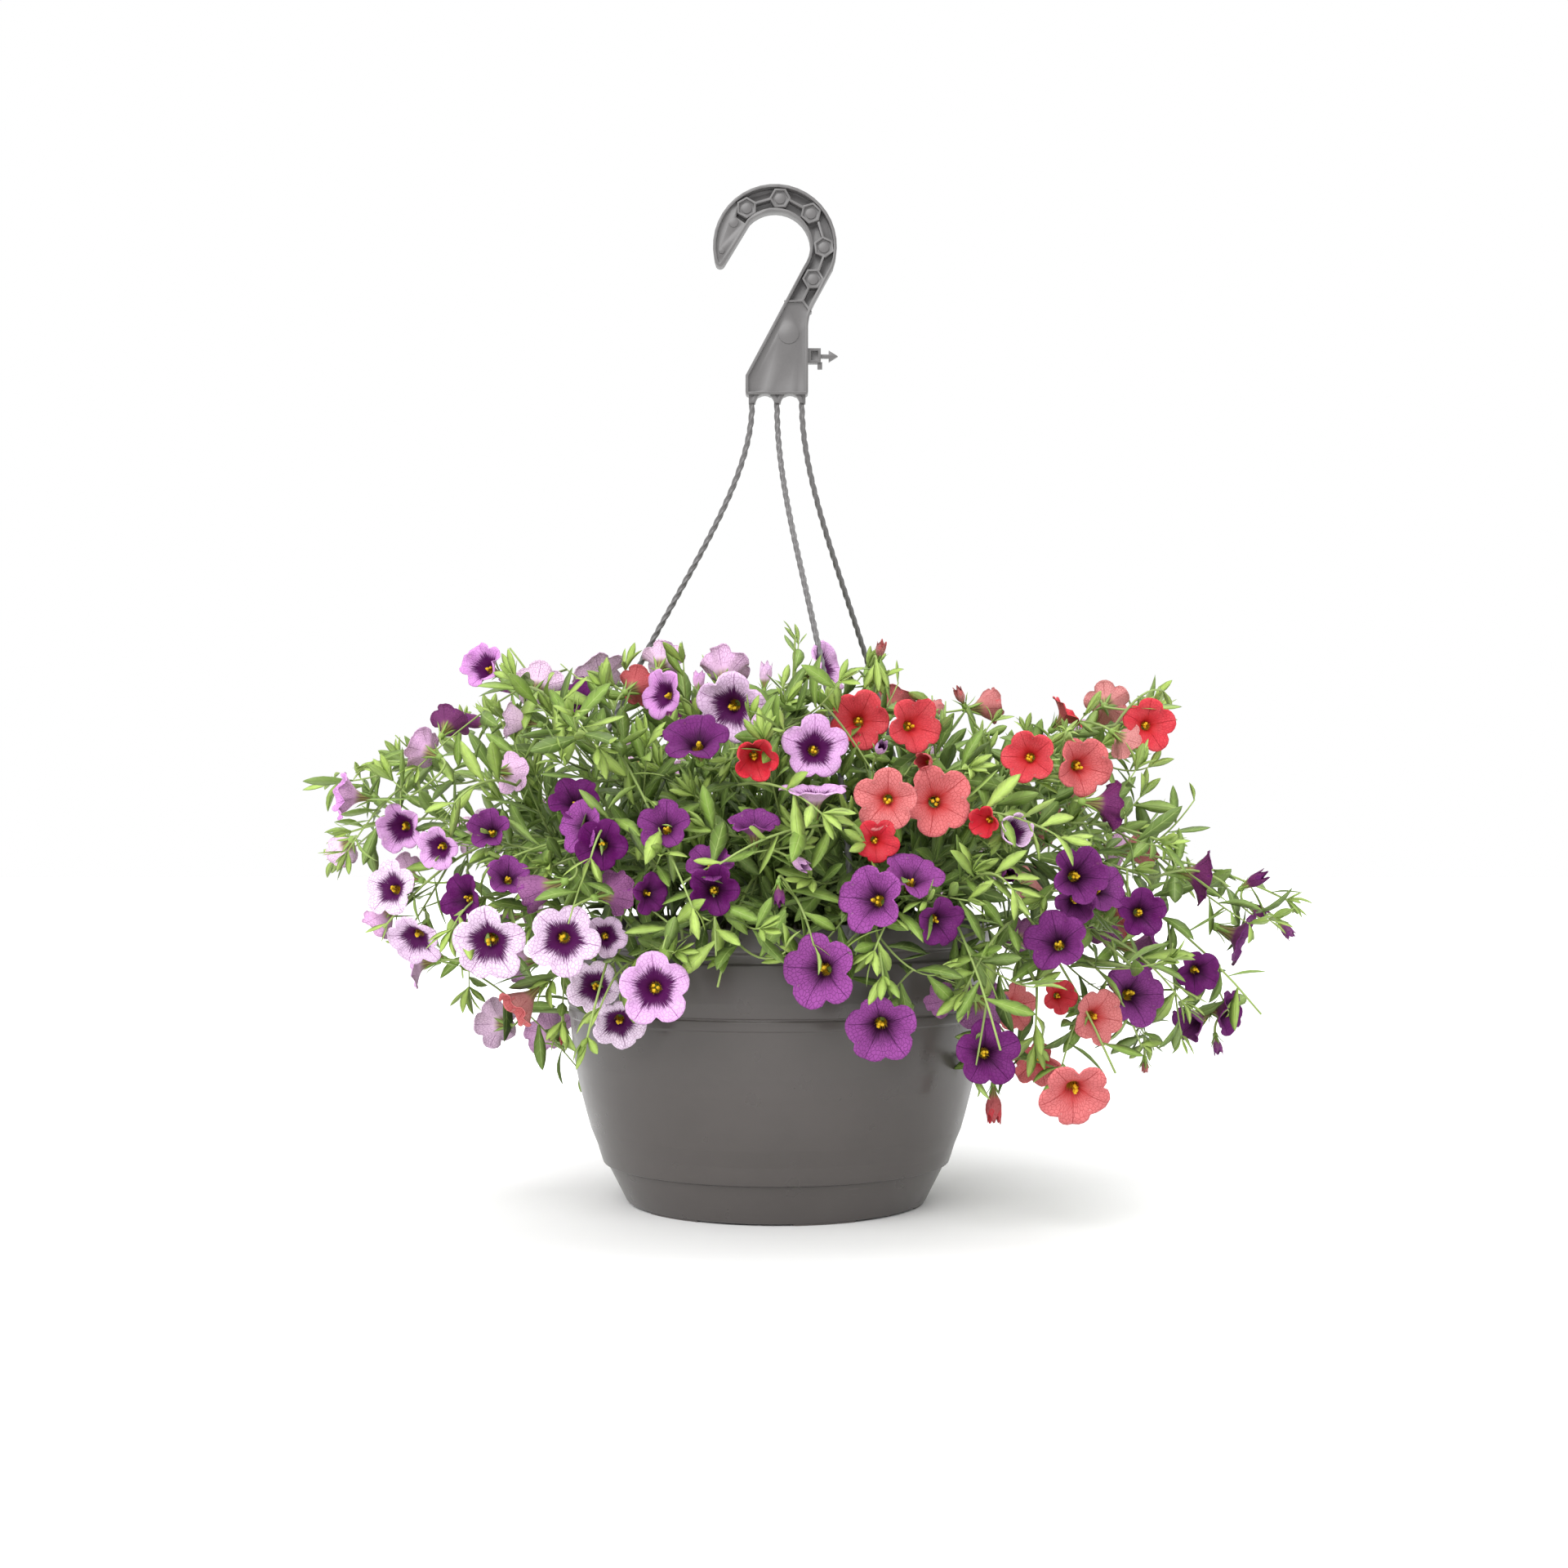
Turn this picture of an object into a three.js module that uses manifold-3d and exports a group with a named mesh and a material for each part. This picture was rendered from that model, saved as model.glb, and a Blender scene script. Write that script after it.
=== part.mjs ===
// Calibrachoa hanging basket: a pot with a clip-on saucer, potting mix, a moulded hanger of a hook
// and three twisted strands, and leafy shoots carrying trumpet flowers. Millimetres, +Z up, the
// front towards -Y. Heights are worked out from the base, and at the end the whole thing is shifted
// so that its origin is the seat of the hook, which is what holds it up.

import * as THREE from 'three';
import { mergeVertices } from 'three/addons/utils/BufferGeometryUtils.js';
import Module from 'manifold-3d';

const wasm = await Module();
wasm.setup();

const GAP = 0.3; // between pieces that touch
const ROUND = 36; // sides of a turned piece

// Pot
const POT_TOP = 176;
const POT_FOOT = 25.6;
const RIM_R = 135;
const WALL = 2.2;
const DRAIN_R = 4;
const DRAIN_RING_R = 62;

// Saucer
const SAUCER_TOP = POT_FOOT - GAP;
const SAUCER_FOOT_R = 94.8;
const SAUCER_TOP_R = 106.4;
const LUG_HEIGHT = 1;
const LUG_ARC = THREE.MathUtils.degToRad(24);
const LUG_TURN = THREE.MathUtils.degToRad(18);

// Potting mix
const MIX_TOP = 168;
const MIX_EDGE_DROP = 4;

// Hook: a flat moulding in the XZ plane
const EYE_X = -0.8;
const EYE_Z = 603;
const EYE_OUTER_R = 39.2;
const EYE_INNER_R = 22.3;
const HOOK_SEAT_Z = EYE_Z + EYE_INNER_R;
const PLATE_BOTTOM = 509;
const PLATE_DEPTH = 9;
const FLANGE = 1.8;
const WEB = 2.6;
const PAD_DEPTH = 2.3; // how far the shank, the tip and the hexagons' floors lie below the flange
const HEX_R = 6.8;
const RIB = 1.4;
const ARCH_R = 6;
const ARCHES = [-7.2, 8.8];
const LEG_FOOT = 504;

// Hanger strands
const STRAND_R = 1.8;
const STRAND_ROOTS = { strand_left: -15.3, strand_front: 0.5, strand_right: 16.3 };
const STRAND_TURNS = { strand_left: -99, strand_front: 18, strand_right: 137 };
const STRAND_END_R = RIM_R + 2.4;
const STRAND_END_Z = 172;
const CLIP_WIDTH = 11;
const CLIP_WALL = 1.8;
const CLIP_DROP = 13;

// Plants
const STEM_R = 1.2;
const STEM_STEPS = 6;
const PEDICEL_R = 0.8;
const CALYX_LENGTH = 5;
const CALYX_R = 2.6;
const TUBE_SHARE = 0.5; // length of a flower's tube, as a share of its width
const LEAF_LENGTH = 26;
const LEAF_WIDTH = 7;
const LEAF_THICK = 1.2;
const LEAVES_PER_SHOOT = 8;
const LEAVES_FROM = 0.22; // shares of the shoot's length
const LEAVES_TO = 0.985;
const GOLDEN_TURN = THREE.MathUtils.degToRad(137.5);

// The three plants grow from their own crowns: [x, y] on the mix.
const CROWNS = { pink: [-52, -12], violet: [32, -48], coral: [22, 46] };
const CROWN_R = 18;

// Shoots: plant, tip [x, y, z] above the base, and how far the middle of the shoot bows up.
const SHOOTS = [
  ['pink', [-165, -30, 346], 14],
  ['pink', [-252, -22, 276], 30],
  ['pink', [-278, 26, 232], 34],
  ['pink', [-226, -116, 176], 58],
  ['pink', [-104, -176, 114], 72],
  ['pink', [-118, -128, 292], 20],
  ['pink', [-190, 140, 226], 40],
  ['pink', [-92, 206, 250], 34],
  ['pink', [6, -112, 306], 14],
  ['violet', [-32, -172, 146], 52],
  ['violet', [58, -186, 150], 52],
  ['violet', [122, -178, 112], 66],
  ['violet', [292, -64, 122], 66],
  ['violet', [322, -22, 188], 42],
  ['violet', [226, -96, 226], 34],
  ['violet', [0, -140, 226], 26],
  ['violet', [-156, -132, 214], 34],
  ['violet', [-100, -50, 322], 20],
  ['coral', [12, -14, 356], 6],
  ['coral', [64, -92, 324], 10],
  ['coral', [112, -122, 268], 24],
  ['coral', [204, -30, 286], 26],
  ['coral', [250, 34, 322], 20],
  ['coral', [268, 96, 226], 40],
  ['coral', [152, 206, 236], 38],
  ['coral', [24, 236, 214], 40],
  ['coral', [168, 176, 116], 70],
  ['coral', [196, -112, 92], 86],
];

// Flowers: variety, centre of the face [x, y, z] above the base, the way it faces as
// [turn from the front towards +X, tilt up] in degrees, and its width.
const FLOWERS = [
  ['pink', [-178, -52, 333], [-30, 15], 33],
  ['violet', [-120, -62, 314], [-20, 50], 40],
  ['pink', [-262, -52, 254], [-70, 5], 35],
  ['pink', [-221, -92, 234], [-15, -8], 34],
  ['violet', [-178, -136, 194], [-38, 8], 32],
  ['pink', [-160, -158, 168], [-8, -18], 44],
  ['pink', [-116, -176, 172], [4, -4], 41],
  ['pink', [-66, -182, 146], [0, 2], 43],
  ['violet', [-96, -172, 224], [-4, 4], 32],
  ['violet', [-34, -178, 199], [0, 2], 33],
  ['pink', [-27, -104, 303], [-16, -16], 44],
  ['pink', [22, -146, 278], [6, 6], 38],
  ['coral', [48, -118, 296], [2, 4], 38],
  ['coral', [90, -152, 248], [6, 0], 43],
  ['coral', [226, -54, 297], [2, 2], 34],
  ['violet', [170, -144, 207], [12, 6], 39],
  ['violet', [23, -188, 156], [-22, 0], 43],
  ['violet', [57, -176, 123], [-4, -16], 43],
  ['violet', [117, -158, 108], [6, 4], 38],
  ['coral', [167, -152, 84], [4, -28], 42],
  ['violet', [285, -50, 167], [68, -22], 38],
  ['pink', [-176, 168, 214], [-140, 6], 40],
  ['pink', [-66, 212, 272], [-165, 18], 40],
  ['coral', [60, 238, 196], [168, 4], 38],
  ['coral', [186, 186, 196], [135, 8], 38],
];

const COLOURS = {
  pot: 0x6c6764, mix: 0x2e2019, hanger: 0x7c7c7c, leaf: 0x6f9c3d,
  pink: 0xf0c0f2, violet: 0x5a1285, coral: 0xea5560,
};

const plastic = (colour) => new THREE.MeshStandardMaterial({ color: colour, roughness: 0.45, metalness: 0 });
const soft = (colour) => new THREE.MeshStandardMaterial({ color: colour, roughness: 0.75, metalness: 0 });

// ---------- solids ----------

function toSolid(geometry) {
  geometry.deleteAttribute('normal');
  geometry.deleteAttribute('uv');
  const merged = mergeVertices(geometry, 1e-4);
  return new wasm.Manifold(new wasm.Mesh({
    numProp: 3,
    vertProperties: Float32Array.from(merged.attributes.position.array),
    triVerts: Uint32Array.from(merged.index.array),
  }));
}

function toGeometry(solid) {
  const mesh = solid.getMesh();
  const geometry = new THREE.BufferGeometry();
  geometry.setAttribute('position', new THREE.BufferAttribute(mesh.vertProperties, 3));
  geometry.setIndex(new THREE.BufferAttribute(mesh.triVerts, 1));
  geometry.computeVertexNormals();
  return geometry;
}

const joined = (solids) => solids.reduce((whole, next) => whole.add(next));

// Stacks rings of equal count between two end points into one closed skin.
function ringSkin(start, rings, end) {
  const count = rings[0].length;
  const points = [start, ...rings.flat(), end];
  const at = (ring, i) => 1 + ring * count + (i % count);
  const faces = [];
  for (let i = 0; i < count; i += 1) {
    faces.push(0, at(0, i), at(0, i + 1));
    for (let ring = 0; ring < rings.length - 1; ring += 1) {
      faces.push(at(ring, i), at(ring + 1, i), at(ring + 1, i + 1));
      faces.push(at(ring, i), at(ring + 1, i + 1), at(ring, i + 1));
    }
    faces.push(points.length - 1, at(rings.length - 1, i + 1), at(rings.length - 1, i));
  }
  const geometry = new THREE.BufferGeometry();
  geometry.setAttribute('position', new THREE.Float32BufferAttribute(points.flatMap((p) => p.toArray()), 3));
  geometry.setIndex(faces);
  return geometry;
}

function ring(radius, z, count, lobe = 0) {
  const points = [];
  for (let i = 0; i < count; i += 1) {
    const angle = (i / count) * Math.PI * 2;
    const r = radius * (1 - lobe + lobe * Math.cos(5 * angle));
    points.push(new THREE.Vector3(r * Math.cos(angle), r * Math.sin(angle), z));
  }
  return points;
}

function tube(curve, radius, steps, sides) {
  const section = new THREE.Shape();
  section.absarc(0, 0, radius, 0, Math.PI * 2);
  const geometry = new THREE.ExtrudeGeometry(section, {
    steps, extrudePath: curve, curveSegments: sides / 2,
  });
  return toSolid(geometry);
}

// A profile of [radius, z] points turned about the Z axis.
function turned(profile, segments) {
  const geometry = new THREE.LatheGeometry(profile.map(([r, z]) => new THREE.Vector2(r, z)), segments);
  geometry.rotateX(Math.PI / 2);
  return toSolid(geometry);
}

// A shape drawn in XZ, given a depth along Y from y0 to y1.
function plate(shape, y0, y1) {
  const geometry = new THREE.ExtrudeGeometry(shape, { depth: y1 - y0, bevelEnabled: false, curveSegments: 10 });
  geometry.rotateX(Math.PI / 2);
  geometry.translate(0, y1, 0);
  return toSolid(geometry);
}

const facing = (turn, tilt) => {
  const a = THREE.MathUtils.degToRad(turn);
  const e = THREE.MathUtils.degToRad(tilt);
  return new THREE.Vector3(Math.sin(a) * Math.cos(e), -Math.cos(a) * Math.cos(e), Math.sin(e));
};

// ---------- pot, saucer, mix ----------

const POT_OUTER = [
  [109.2, POT_FOOT], [112.8, 37], [119.9, 57.6], [125, 78], [128.6, 100], [130.2, 117],
  [132.4, 118], [132.9, 135], [133.2, 155], [131.8, 156.5], [131.8, 161], [RIM_R, 162.5], [RIM_R, POT_TOP],
];
const POT_FLOOR = POT_FOOT + 2.6;
const POT_INNER = [
  [RIM_R - WALL, POT_TOP], [RIM_R - WALL, 163], [128.6, 160.5], [127.8, 118], [122.8, 78], [117.7, 57.6], [106.6, POT_FLOOR],
];

function pot() {
  const body = turned([[0, POT_FOOT], ...POT_OUTER, ...POT_INNER, [0, POT_FLOOR]], ROUND);
  const drains = [0, 1, 2, 3].map((i) => {
    const hole = new THREE.CylinderGeometry(DRAIN_R, DRAIN_R, 12, 12);
    hole.rotateX(Math.PI / 2);
    hole.translate(DRAIN_RING_R * Math.cos(i * Math.PI / 2), DRAIN_RING_R * Math.sin(i * Math.PI / 2), POT_FOOT);
    return toSolid(hole);
  });
  return body.subtract(joined(drains));
}

function saucer() {
  const dish = turned([
    [0, LUG_HEIGHT], [SAUCER_FOOT_R, LUG_HEIGHT], [SAUCER_TOP_R, SAUCER_TOP], [SAUCER_TOP_R - WALL, SAUCER_TOP],
    [SAUCER_FOOT_R - WALL, LUG_HEIGHT + WALL], [0, LUG_HEIGHT + WALL],
  ], ROUND);
  const lugs = [0, 1, 2, 3, 4, 5].map((i) => {
    const middle = -Math.PI / 2 + LUG_TURN + (i * Math.PI) / 3;
    const lug = new THREE.Shape();
    lug.absarc(0, 0, SAUCER_FOOT_R - 1.2, middle - LUG_ARC / 2, middle + LUG_ARC / 2);
    lug.absarc(0, 0, SAUCER_FOOT_R - 9, middle + LUG_ARC / 2, middle - LUG_ARC / 2, true);
    return toSolid(new THREE.ExtrudeGeometry(lug, { depth: LUG_HEIGHT + 0.4, bevelEnabled: false, curveSegments: 4 }));
  });
  return dish.add(joined(lugs));
}

function pottingMix() {
  const inner = POT_INNER.slice(3).map(([r, z]) => [r - 0.8, Math.max(z, POT_FLOOR + GAP)]).reverse();
  return turned([
    [0, POT_FLOOR + GAP], ...inner, [127, MIX_TOP - MIX_EDGE_DROP - 4],
    [125, MIX_TOP - MIX_EDGE_DROP], [104, MIX_TOP], [0, MIX_TOP],
  ], ROUND / 2);
}

// ---------- hook ----------

const arcPoints = (cx, cz, r, from, to, steps) => {
  const points = [];
  for (let i = 0; i <= steps; i += 1) {
    const a = THREE.MathUtils.degToRad(from + ((to - from) * i) / steps);
    points.push(new THREE.Vector2(cx + r * Math.cos(a), cz + r * Math.sin(a)));
  }
  return points;
};

// The hook's outline, anticlockwise from the foot of the shank.
function hookOutline() {
  const bend = new THREE.QuadraticBezierCurve(
    new THREE.Vector2(20.2, 552), new THREE.Vector2(20.2, 561), new THREE.Vector2(24.6, 568.8));
  return [
    ...arcPoints(18.2, PLATE_BOTTOM + 2, 2, -90, 0, 3),
    ...bend.getPoints(4),
    ...arcPoints(EYE_X, EYE_Z, EYE_OUTER_R, -20, 192, 24),
    ...arcPoints(-35.6, 593.6, 3.1, 215, 330, 5),
    ...arcPoints(EYE_X, EYE_Z, EYE_INNER_R, 136, -36, 18),
    new THREE.Vector2(-19.4, 521.1),
    ...arcPoints(-17.4, PLATE_BOTTOM + 2, 2, 180, 270, 3),
  ];
}

// The same outline moved inward by a margin, corner by corner.
function inset(points, margin) {
  return points.map((p, i) => {
    const before = points[(i + points.length - 1) % points.length];
    const after = points[(i + 1) % points.length];
    const a = p.clone().sub(before).normalize();
    const b = after.clone().sub(p).normalize();
    const inward = new THREE.Vector2(-a.y - b.y, a.x + b.x).normalize();
    const spread = Math.max(0.5, inward.x * -a.y + inward.y * a.x);
    return p.clone().addScaledVector(inward, margin / spread);
  });
}

// The hexagonal cells along the bend: centre and turn in degrees.
const HEXAGONS = [[-18.7, 627.4, 30], [2.5, 633.5, 0], [22, 624, 17], [30.2, 602.5, 36], [23.3, 582.4, 0]];

// Thin ribs that join the hexagons and close the pockets above the shank.
const RIBS = [
  [[-13.2, 630.2], [-4.4, 632.8]], [[8.9, 632.1], [16.8, 627.6]], [[26.9, 617.8], [29.3, 609.5]],
  [[29.6, 595.8], [27.2, 588.3]], [[20.4, 576.6], [16.8, 568.6]], [[5.8, 568.1], [16.8, 568.6]],
  [[16.8, 568.6], [21.6, 561.8]],
];

// Round ejector marks on the pads: centre and radius.
const DISCS = [[8, 548.1, 6.5], [-27, 618.4, 3], [-34.5, 600.6, 1.9], ...HEXAGONS.map(([x, z]) => [x, z, 3.3])];

const hexagon = ([x, z, turn], r) => arcPoints(x, z, r, turn, turn + 300, 5);
const shapeOf = (pairs) => new THREE.Shape(pairs.map(([x, z]) => new THREE.Vector2(x, z)));

// The raised floors of the shank and the tip, and of each hexagon.
function hookPads(inside, padFront, webFront) {
  const shank = shapeOf([[-30, 500], [30, 500], [26, 556], [16.8, 568.6], [-2, 568.2]]);
  const tip = shapeOf([[-50, 580], [-16, 600], [-17, 616], [-25.5, 622], [-23.5, 630], [-50, 640]]);
  const cells = HEXAGONS.map((cell) => new THREE.Shape(hexagon(cell, HEX_R)));
  const floors = [shank, tip, ...cells].map((shape) => plate(shape, padFront, webFront + 0.2));
  return joined(floors).intersect(inside);
}

function hanger_hook() {
  const outline = hookOutline();
  const front = -PLATE_DEPTH / 2;
  const back = PLATE_DEPTH / 2;
  const webFront = back - WEB;
  const padFront = front + PAD_DEPTH;
  const blank = plate(new THREE.Shape(outline), front, back);
  const within = new THREE.Shape(inset(outline, FLANGE));
  const pads = hookPads(plate(within, front, back), padFront, webFront);
  const parts = [blank.subtract(plate(within, front - 1, webFront)), pads];
  for (const cell of HEXAGONS) {
    const wall = new THREE.Shape(hexagon(cell, HEX_R));
    wall.holes.push(new THREE.Path(hexagon(cell, HEX_R - RIB)));
    parts.push(plate(wall, front + 0.6, padFront + 0.2));
  }
  for (const [[x0, z0], [x1, z1]] of RIBS) {
    const rib = new THREE.BoxGeometry(Math.hypot(x1 - x0, z1 - z0) + RIB, webFront - front - 0.4, RIB);
    rib.rotateY(-Math.atan2(z1 - z0, x1 - x0));
    rib.translate((x0 + x1) / 2, (front + webFront) / 2 + 0.4, (z0 + z1) / 2);
    parts.push(toSolid(rib));
  }
  for (const [x, z, radius] of DISCS) {
    const disc = new THREE.CylinderGeometry(radius, radius, 0.8, 16);
    disc.translate(x, padFront - 0.1, z);
    parts.push(toSolid(disc));
  }
  parts.push(plate(shapeOf([[-17.4, LEG_FOOT], [18.6, LEG_FOOT], [18.6, 511], [-17.4, 511]]), -2.2, 2.2));
  for (const x of ARCHES) {
    const lip = new THREE.Shape(arcPoints(x, LEG_FOOT, ARCH_R + 2.2, 0, 180, 12));
    parts.push(plate(lip, -3.2, 2));
  }
  const arches = ARCHES.map((x) => {
    const arch = new THREE.CylinderGeometry(ARCH_R, ARCH_R, PLATE_DEPTH + 4, 20);
    arch.translate(x, 0, LEG_FOOT);
    return toSolid(arch);
  });
  return joined(parts).subtract(joined(arches)).add(labelHolder());
}

// The small frame and arrow for a plant label, on the right edge of the shank.
function labelHolder() {
  const box = (x0, x1, z0, z1, y0, y1) => {
    const geometry = new THREE.BoxGeometry(x1 - x0, y1 - y0, z1 - z0);
    geometry.translate((x0 + x1) / 2, (y0 + y1) / 2, (z0 + z1) / 2);
    return toSolid(geometry);
  };
  const frame = box(19.4, 28.3, 529.5, 538.8, -2.4, 2.4).subtract(box(22, 26.6, 531.2, 537.2, -3, 0.6));
  const tab = box(26.2, 29.2, 526, 530.2, -1.4, 1.4);
  const stem = box(27.8, 33.6, 532.9, 535.1, -1.4, 1.4);
  const head = new THREE.Shape([
    new THREE.Vector2(33.3, 530.4), new THREE.Vector2(39.1, 534), new THREE.Vector2(33.3, 537.6)]);
  return joined([frame, tab, stem, plate(head, -1.4, 1.4)]);
}

// ---------- strands ----------

function strandRoute(name) {
  const turn = THREE.MathUtils.degToRad(STRAND_TURNS[name]);
  const root = new THREE.Vector3(STRAND_ROOTS[name], 0, LEG_FOOT - GAP);
  const end = new THREE.Vector3(STRAND_END_R * Math.sin(turn), -STRAND_END_R * Math.cos(turn), STRAND_END_Z);
  const below = root.clone().setZ(root.z - 85);
  const above = end.clone().setZ(end.z + 148);
  return new THREE.CubicBezierCurve3(root, below, above, end);
}

// A strand and the clip at its end, which hooks over the pot's rim.
function strand(name) {
  const inner = RIM_R - WALL - 3 * GAP;
  const outer = RIM_R + GAP;
  const clip = new THREE.Shape([
    [inner - CLIP_WALL, POT_TOP - 8], [inner, POT_TOP - 8], [inner, POT_TOP + GAP], [outer, POT_TOP + GAP],
    [outer, POT_TOP - CLIP_DROP], [outer + CLIP_WALL, POT_TOP - CLIP_DROP],
    [outer + CLIP_WALL, POT_TOP + GAP + CLIP_WALL], [inner - CLIP_WALL, POT_TOP + GAP + CLIP_WALL],
  ].map(([x, z]) => new THREE.Vector2(x, z)));
  const solid = plate(clip, -CLIP_WIDTH / 2, CLIP_WIDTH / 2).rotate([0, 0, STRAND_TURNS[name] - 90]);
  return tube(strandRoute(name), STRAND_R, 20, 8).add(solid);
}

// ---------- flowers ----------

// The trumpet and its five-lobed face, facing +Z with the face's rim at z = 0.
function corolla(width) {
  const points = 10;
  const length = width * TUBE_SHARE;
  const throat = ring(width * 0.1, -width * 0.12, points);
  const rim = ring(width * 0.47, 0, points, 0.07);
  const neck = ring(width * 0.13, -width * 0.17, points);
  const base = ring(CALYX_R * 0.6, -length, points);
  const deep = new THREE.Vector3(0, 0, -width * 0.2);
  return ringSkin(deep, [throat, rim, neck, base], new THREE.Vector3(0, 0, -length));
}

function placeFlower([variety, centre, [turn, tilt], width]) {
  const axis = facing(turn, tilt);
  const turnTo = new THREE.Quaternion().setFromUnitVectors(new THREE.Vector3(0, 0, 1), axis);
  const matrix = new THREE.Matrix4().compose(new THREE.Vector3(...centre), turnTo, new THREE.Vector3(1, 1, 1));
  const heel = new THREE.Vector3(...centre).addScaledVector(axis, -width * TUBE_SHARE - GAP);
  const geometry = corolla(width);
  geometry.applyMatrix4(matrix);
  return { variety, axis, heel, turnTo, solid: toSolid(geometry) };
}

// ---------- shoots ----------

const turnFrom = ([cx, cy], [x, y]) => Math.atan2(y - cy, x - cx);

// Shoots leave their crown evenly round it, in the order of the ways that they go.
function rootOf(row) {
  const crown = CROWNS[row[0]];
  const turns = SHOOTS.filter((other) => other[0] === row[0]).map((other) => turnFrom(crown, other[1]));
  turns.sort((a, b) => a - b);
  const drift = turns.map((turn, i) => turn - (i * 2 * Math.PI) / turns.length);
  const first = drift.reduce((sum, value) => sum + value) / turns.length;
  const turn = first + (turns.indexOf(turnFrom(crown, row[1])) * 2 * Math.PI) / turns.length;
  return new THREE.Vector3(
    crown[0] + CROWN_R * Math.cos(turn), crown[1] + CROWN_R * Math.sin(turn), MIX_TOP + GAP + STEM_R);
}

function stemCurve(row) {
  const root = rootOf(row);
  const end = new THREE.Vector3(...row[1]);
  const chord = root.clone().lerp(end, 0.5);
  return new THREE.QuadraticBezierCurve3(root, chord.setZ(chord.z + 2 * row[2]), end);
}

// A spoon-shaped leaf along +X from its stalk, its face up.
function leafSolid(length) {
  const half = LEAF_WIDTH / 2;
  const edge = [[0, 0.7], [0.6, half], [1, 0], [0.6, -half]];
  const rim = edge.map(([along, y]) => new THREE.Vector3(along * length, y, 0));
  return ringSkin(
    new THREE.Vector3(length * 0.55, 0, LEAF_THICK / 2), [rim.reverse()],
    new THREE.Vector3(length * 0.55, 0, -LEAF_THICK / 2));
}

function pedicel(flower, stemPoint) {
  const back = flower.axis.clone().negate();
  const cup = ringSkin(
    new THREE.Vector3(0, 0, 0), [ring(CALYX_R, -0.01, 5), ring(PEDICEL_R, -CALYX_LENGTH, 5)],
    new THREE.Vector3(0, 0, -CALYX_LENGTH - 0.3));
  const turnTo = flower.turnTo;
  cup.applyQuaternion(turnTo);
  cup.translate(flower.heel.x, flower.heel.y, flower.heel.z);
  const start = flower.heel.clone().addScaledVector(back, CALYX_LENGTH - 0.6);
  const reach = start.distanceTo(stemPoint);
  const guide = start.clone().addScaledVector(back, reach * 0.45);
  const route = new THREE.QuadraticBezierCurve3(start, guide, stemPoint);
  return toSolid(cup).add(tube(route, PEDICEL_R, 3, 4));
}

const boxesTouch = (a, b, margin) => [0, 1, 2].every((i) => (
  a.min[i] - margin < b.max[i] && b.min[i] - margin < a.max[i]));

// True where a solid keeps its distance from every other solid.
function isClear(solid, others) {
  const box = solid.boundingBox();
  return others.every((other) => (
    !boxesTouch(box, other.boundingBox(), GAP) || solid.minGap(other, GAP) >= GAP * 0.99));
}

const flowers = FLOWERS.map(placeFlower);
const fixed = {
  pot: pot(), saucer: saucer(), potting_mix: pottingMix(), hanger_hook: hanger_hook(),
};
for (const name of Object.keys(STRAND_ROOTS)) {
  fixed[name] = strand(name);
}
const shoots = SHOOTS.map((row) => {
  const curve = stemCurve(row);
  return { plant: row[0], curve, joints: curve.getSpacedPoints(STEM_STEPS), solid: tube(curve, STEM_R, STEM_STEPS, 4) };
});

// A point on the straight stretches that a stem is made of.
function pointOn(shoot, along) {
  const step = Math.min(STEM_STEPS - 1, Math.floor(along * STEM_STEPS));
  return shoot.joints[step].clone().lerp(shoot.joints[step + 1], along * STEM_STEPS - step);
}

const everythingBut = (shoot) => [
  ...Object.values(fixed), ...flowers.map((f) => f.solid), ...shoots.filter((s) => s !== shoot).map((s) => s.solid)];

// Each flower's stalk runs to the nearest stem of its own plant that it can reach freely.
for (const flower of flowers) {
  const reaches = [];
  for (const shoot of shoots.filter((s) => s.plant === flower.variety)) {
    for (let along = 0.3; along < 0.96; along += 0.05) {
      const point = pointOn(shoot, along);
      reaches.push({ shoot, point, distance: point.distanceTo(flower.heel) });
    }
  }
  reaches.sort((a, b) => a.distance - b.distance);
  for (const { shoot, point, distance } of reaches) {
    if (distance < 14) {
      continue;
    }
    const stalk = pedicel(flower, point);
    if (isClear(stalk, everythingBut(shoot))) {
      shoot.solid = shoot.solid.add(stalk);
      break;
    }
  }
}

// Leaves spiral up each stem, left out where they would touch another piece.
for (const shoot of shoots) {
  const others = everythingBut(shoot);
  for (let i = 0; i < LEAVES_PER_SHOOT; i += 1) {
    const along = LEAVES_FROM + ((LEAVES_TO - LEAVES_FROM) * i) / (LEAVES_PER_SHOOT - 1);
    const at = pointOn(shoot, along);
    const forward = shoot.curve.getTangent(along);
    const side = new THREE.Vector3(0, 0, 1).cross(forward).normalize();
    side.applyAxisAngle(forward, i * GOLDEN_TURN);
    const lean = forward.clone().lerp(side, along > 0.97 ? 0.05 : 0.62).normalize();
    const up = lean.clone().cross(side.clone().cross(forward)).normalize();
    const basis = new THREE.Matrix4().makeBasis(lean, up.clone().cross(lean).normalize(), up);
    const leaf = leafSolid(LEAF_LENGTH * (1 - 0.25 * along));
    leaf.applyMatrix4(basis.setPosition(at));
    const solid = toSolid(leaf);
    if (isClear(solid, others)) {
      shoot.solid = shoot.solid.add(solid);
    }
  }
}

// ---------- the assembly ----------

const group = new THREE.Group();
group.position.z = -HOOK_SEAT_Z;

function addPiece(name, solid, material) {
  const mesh = new THREE.Mesh(toGeometry(solid), material);
  mesh.name = name;
  group.add(mesh);
}

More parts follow.
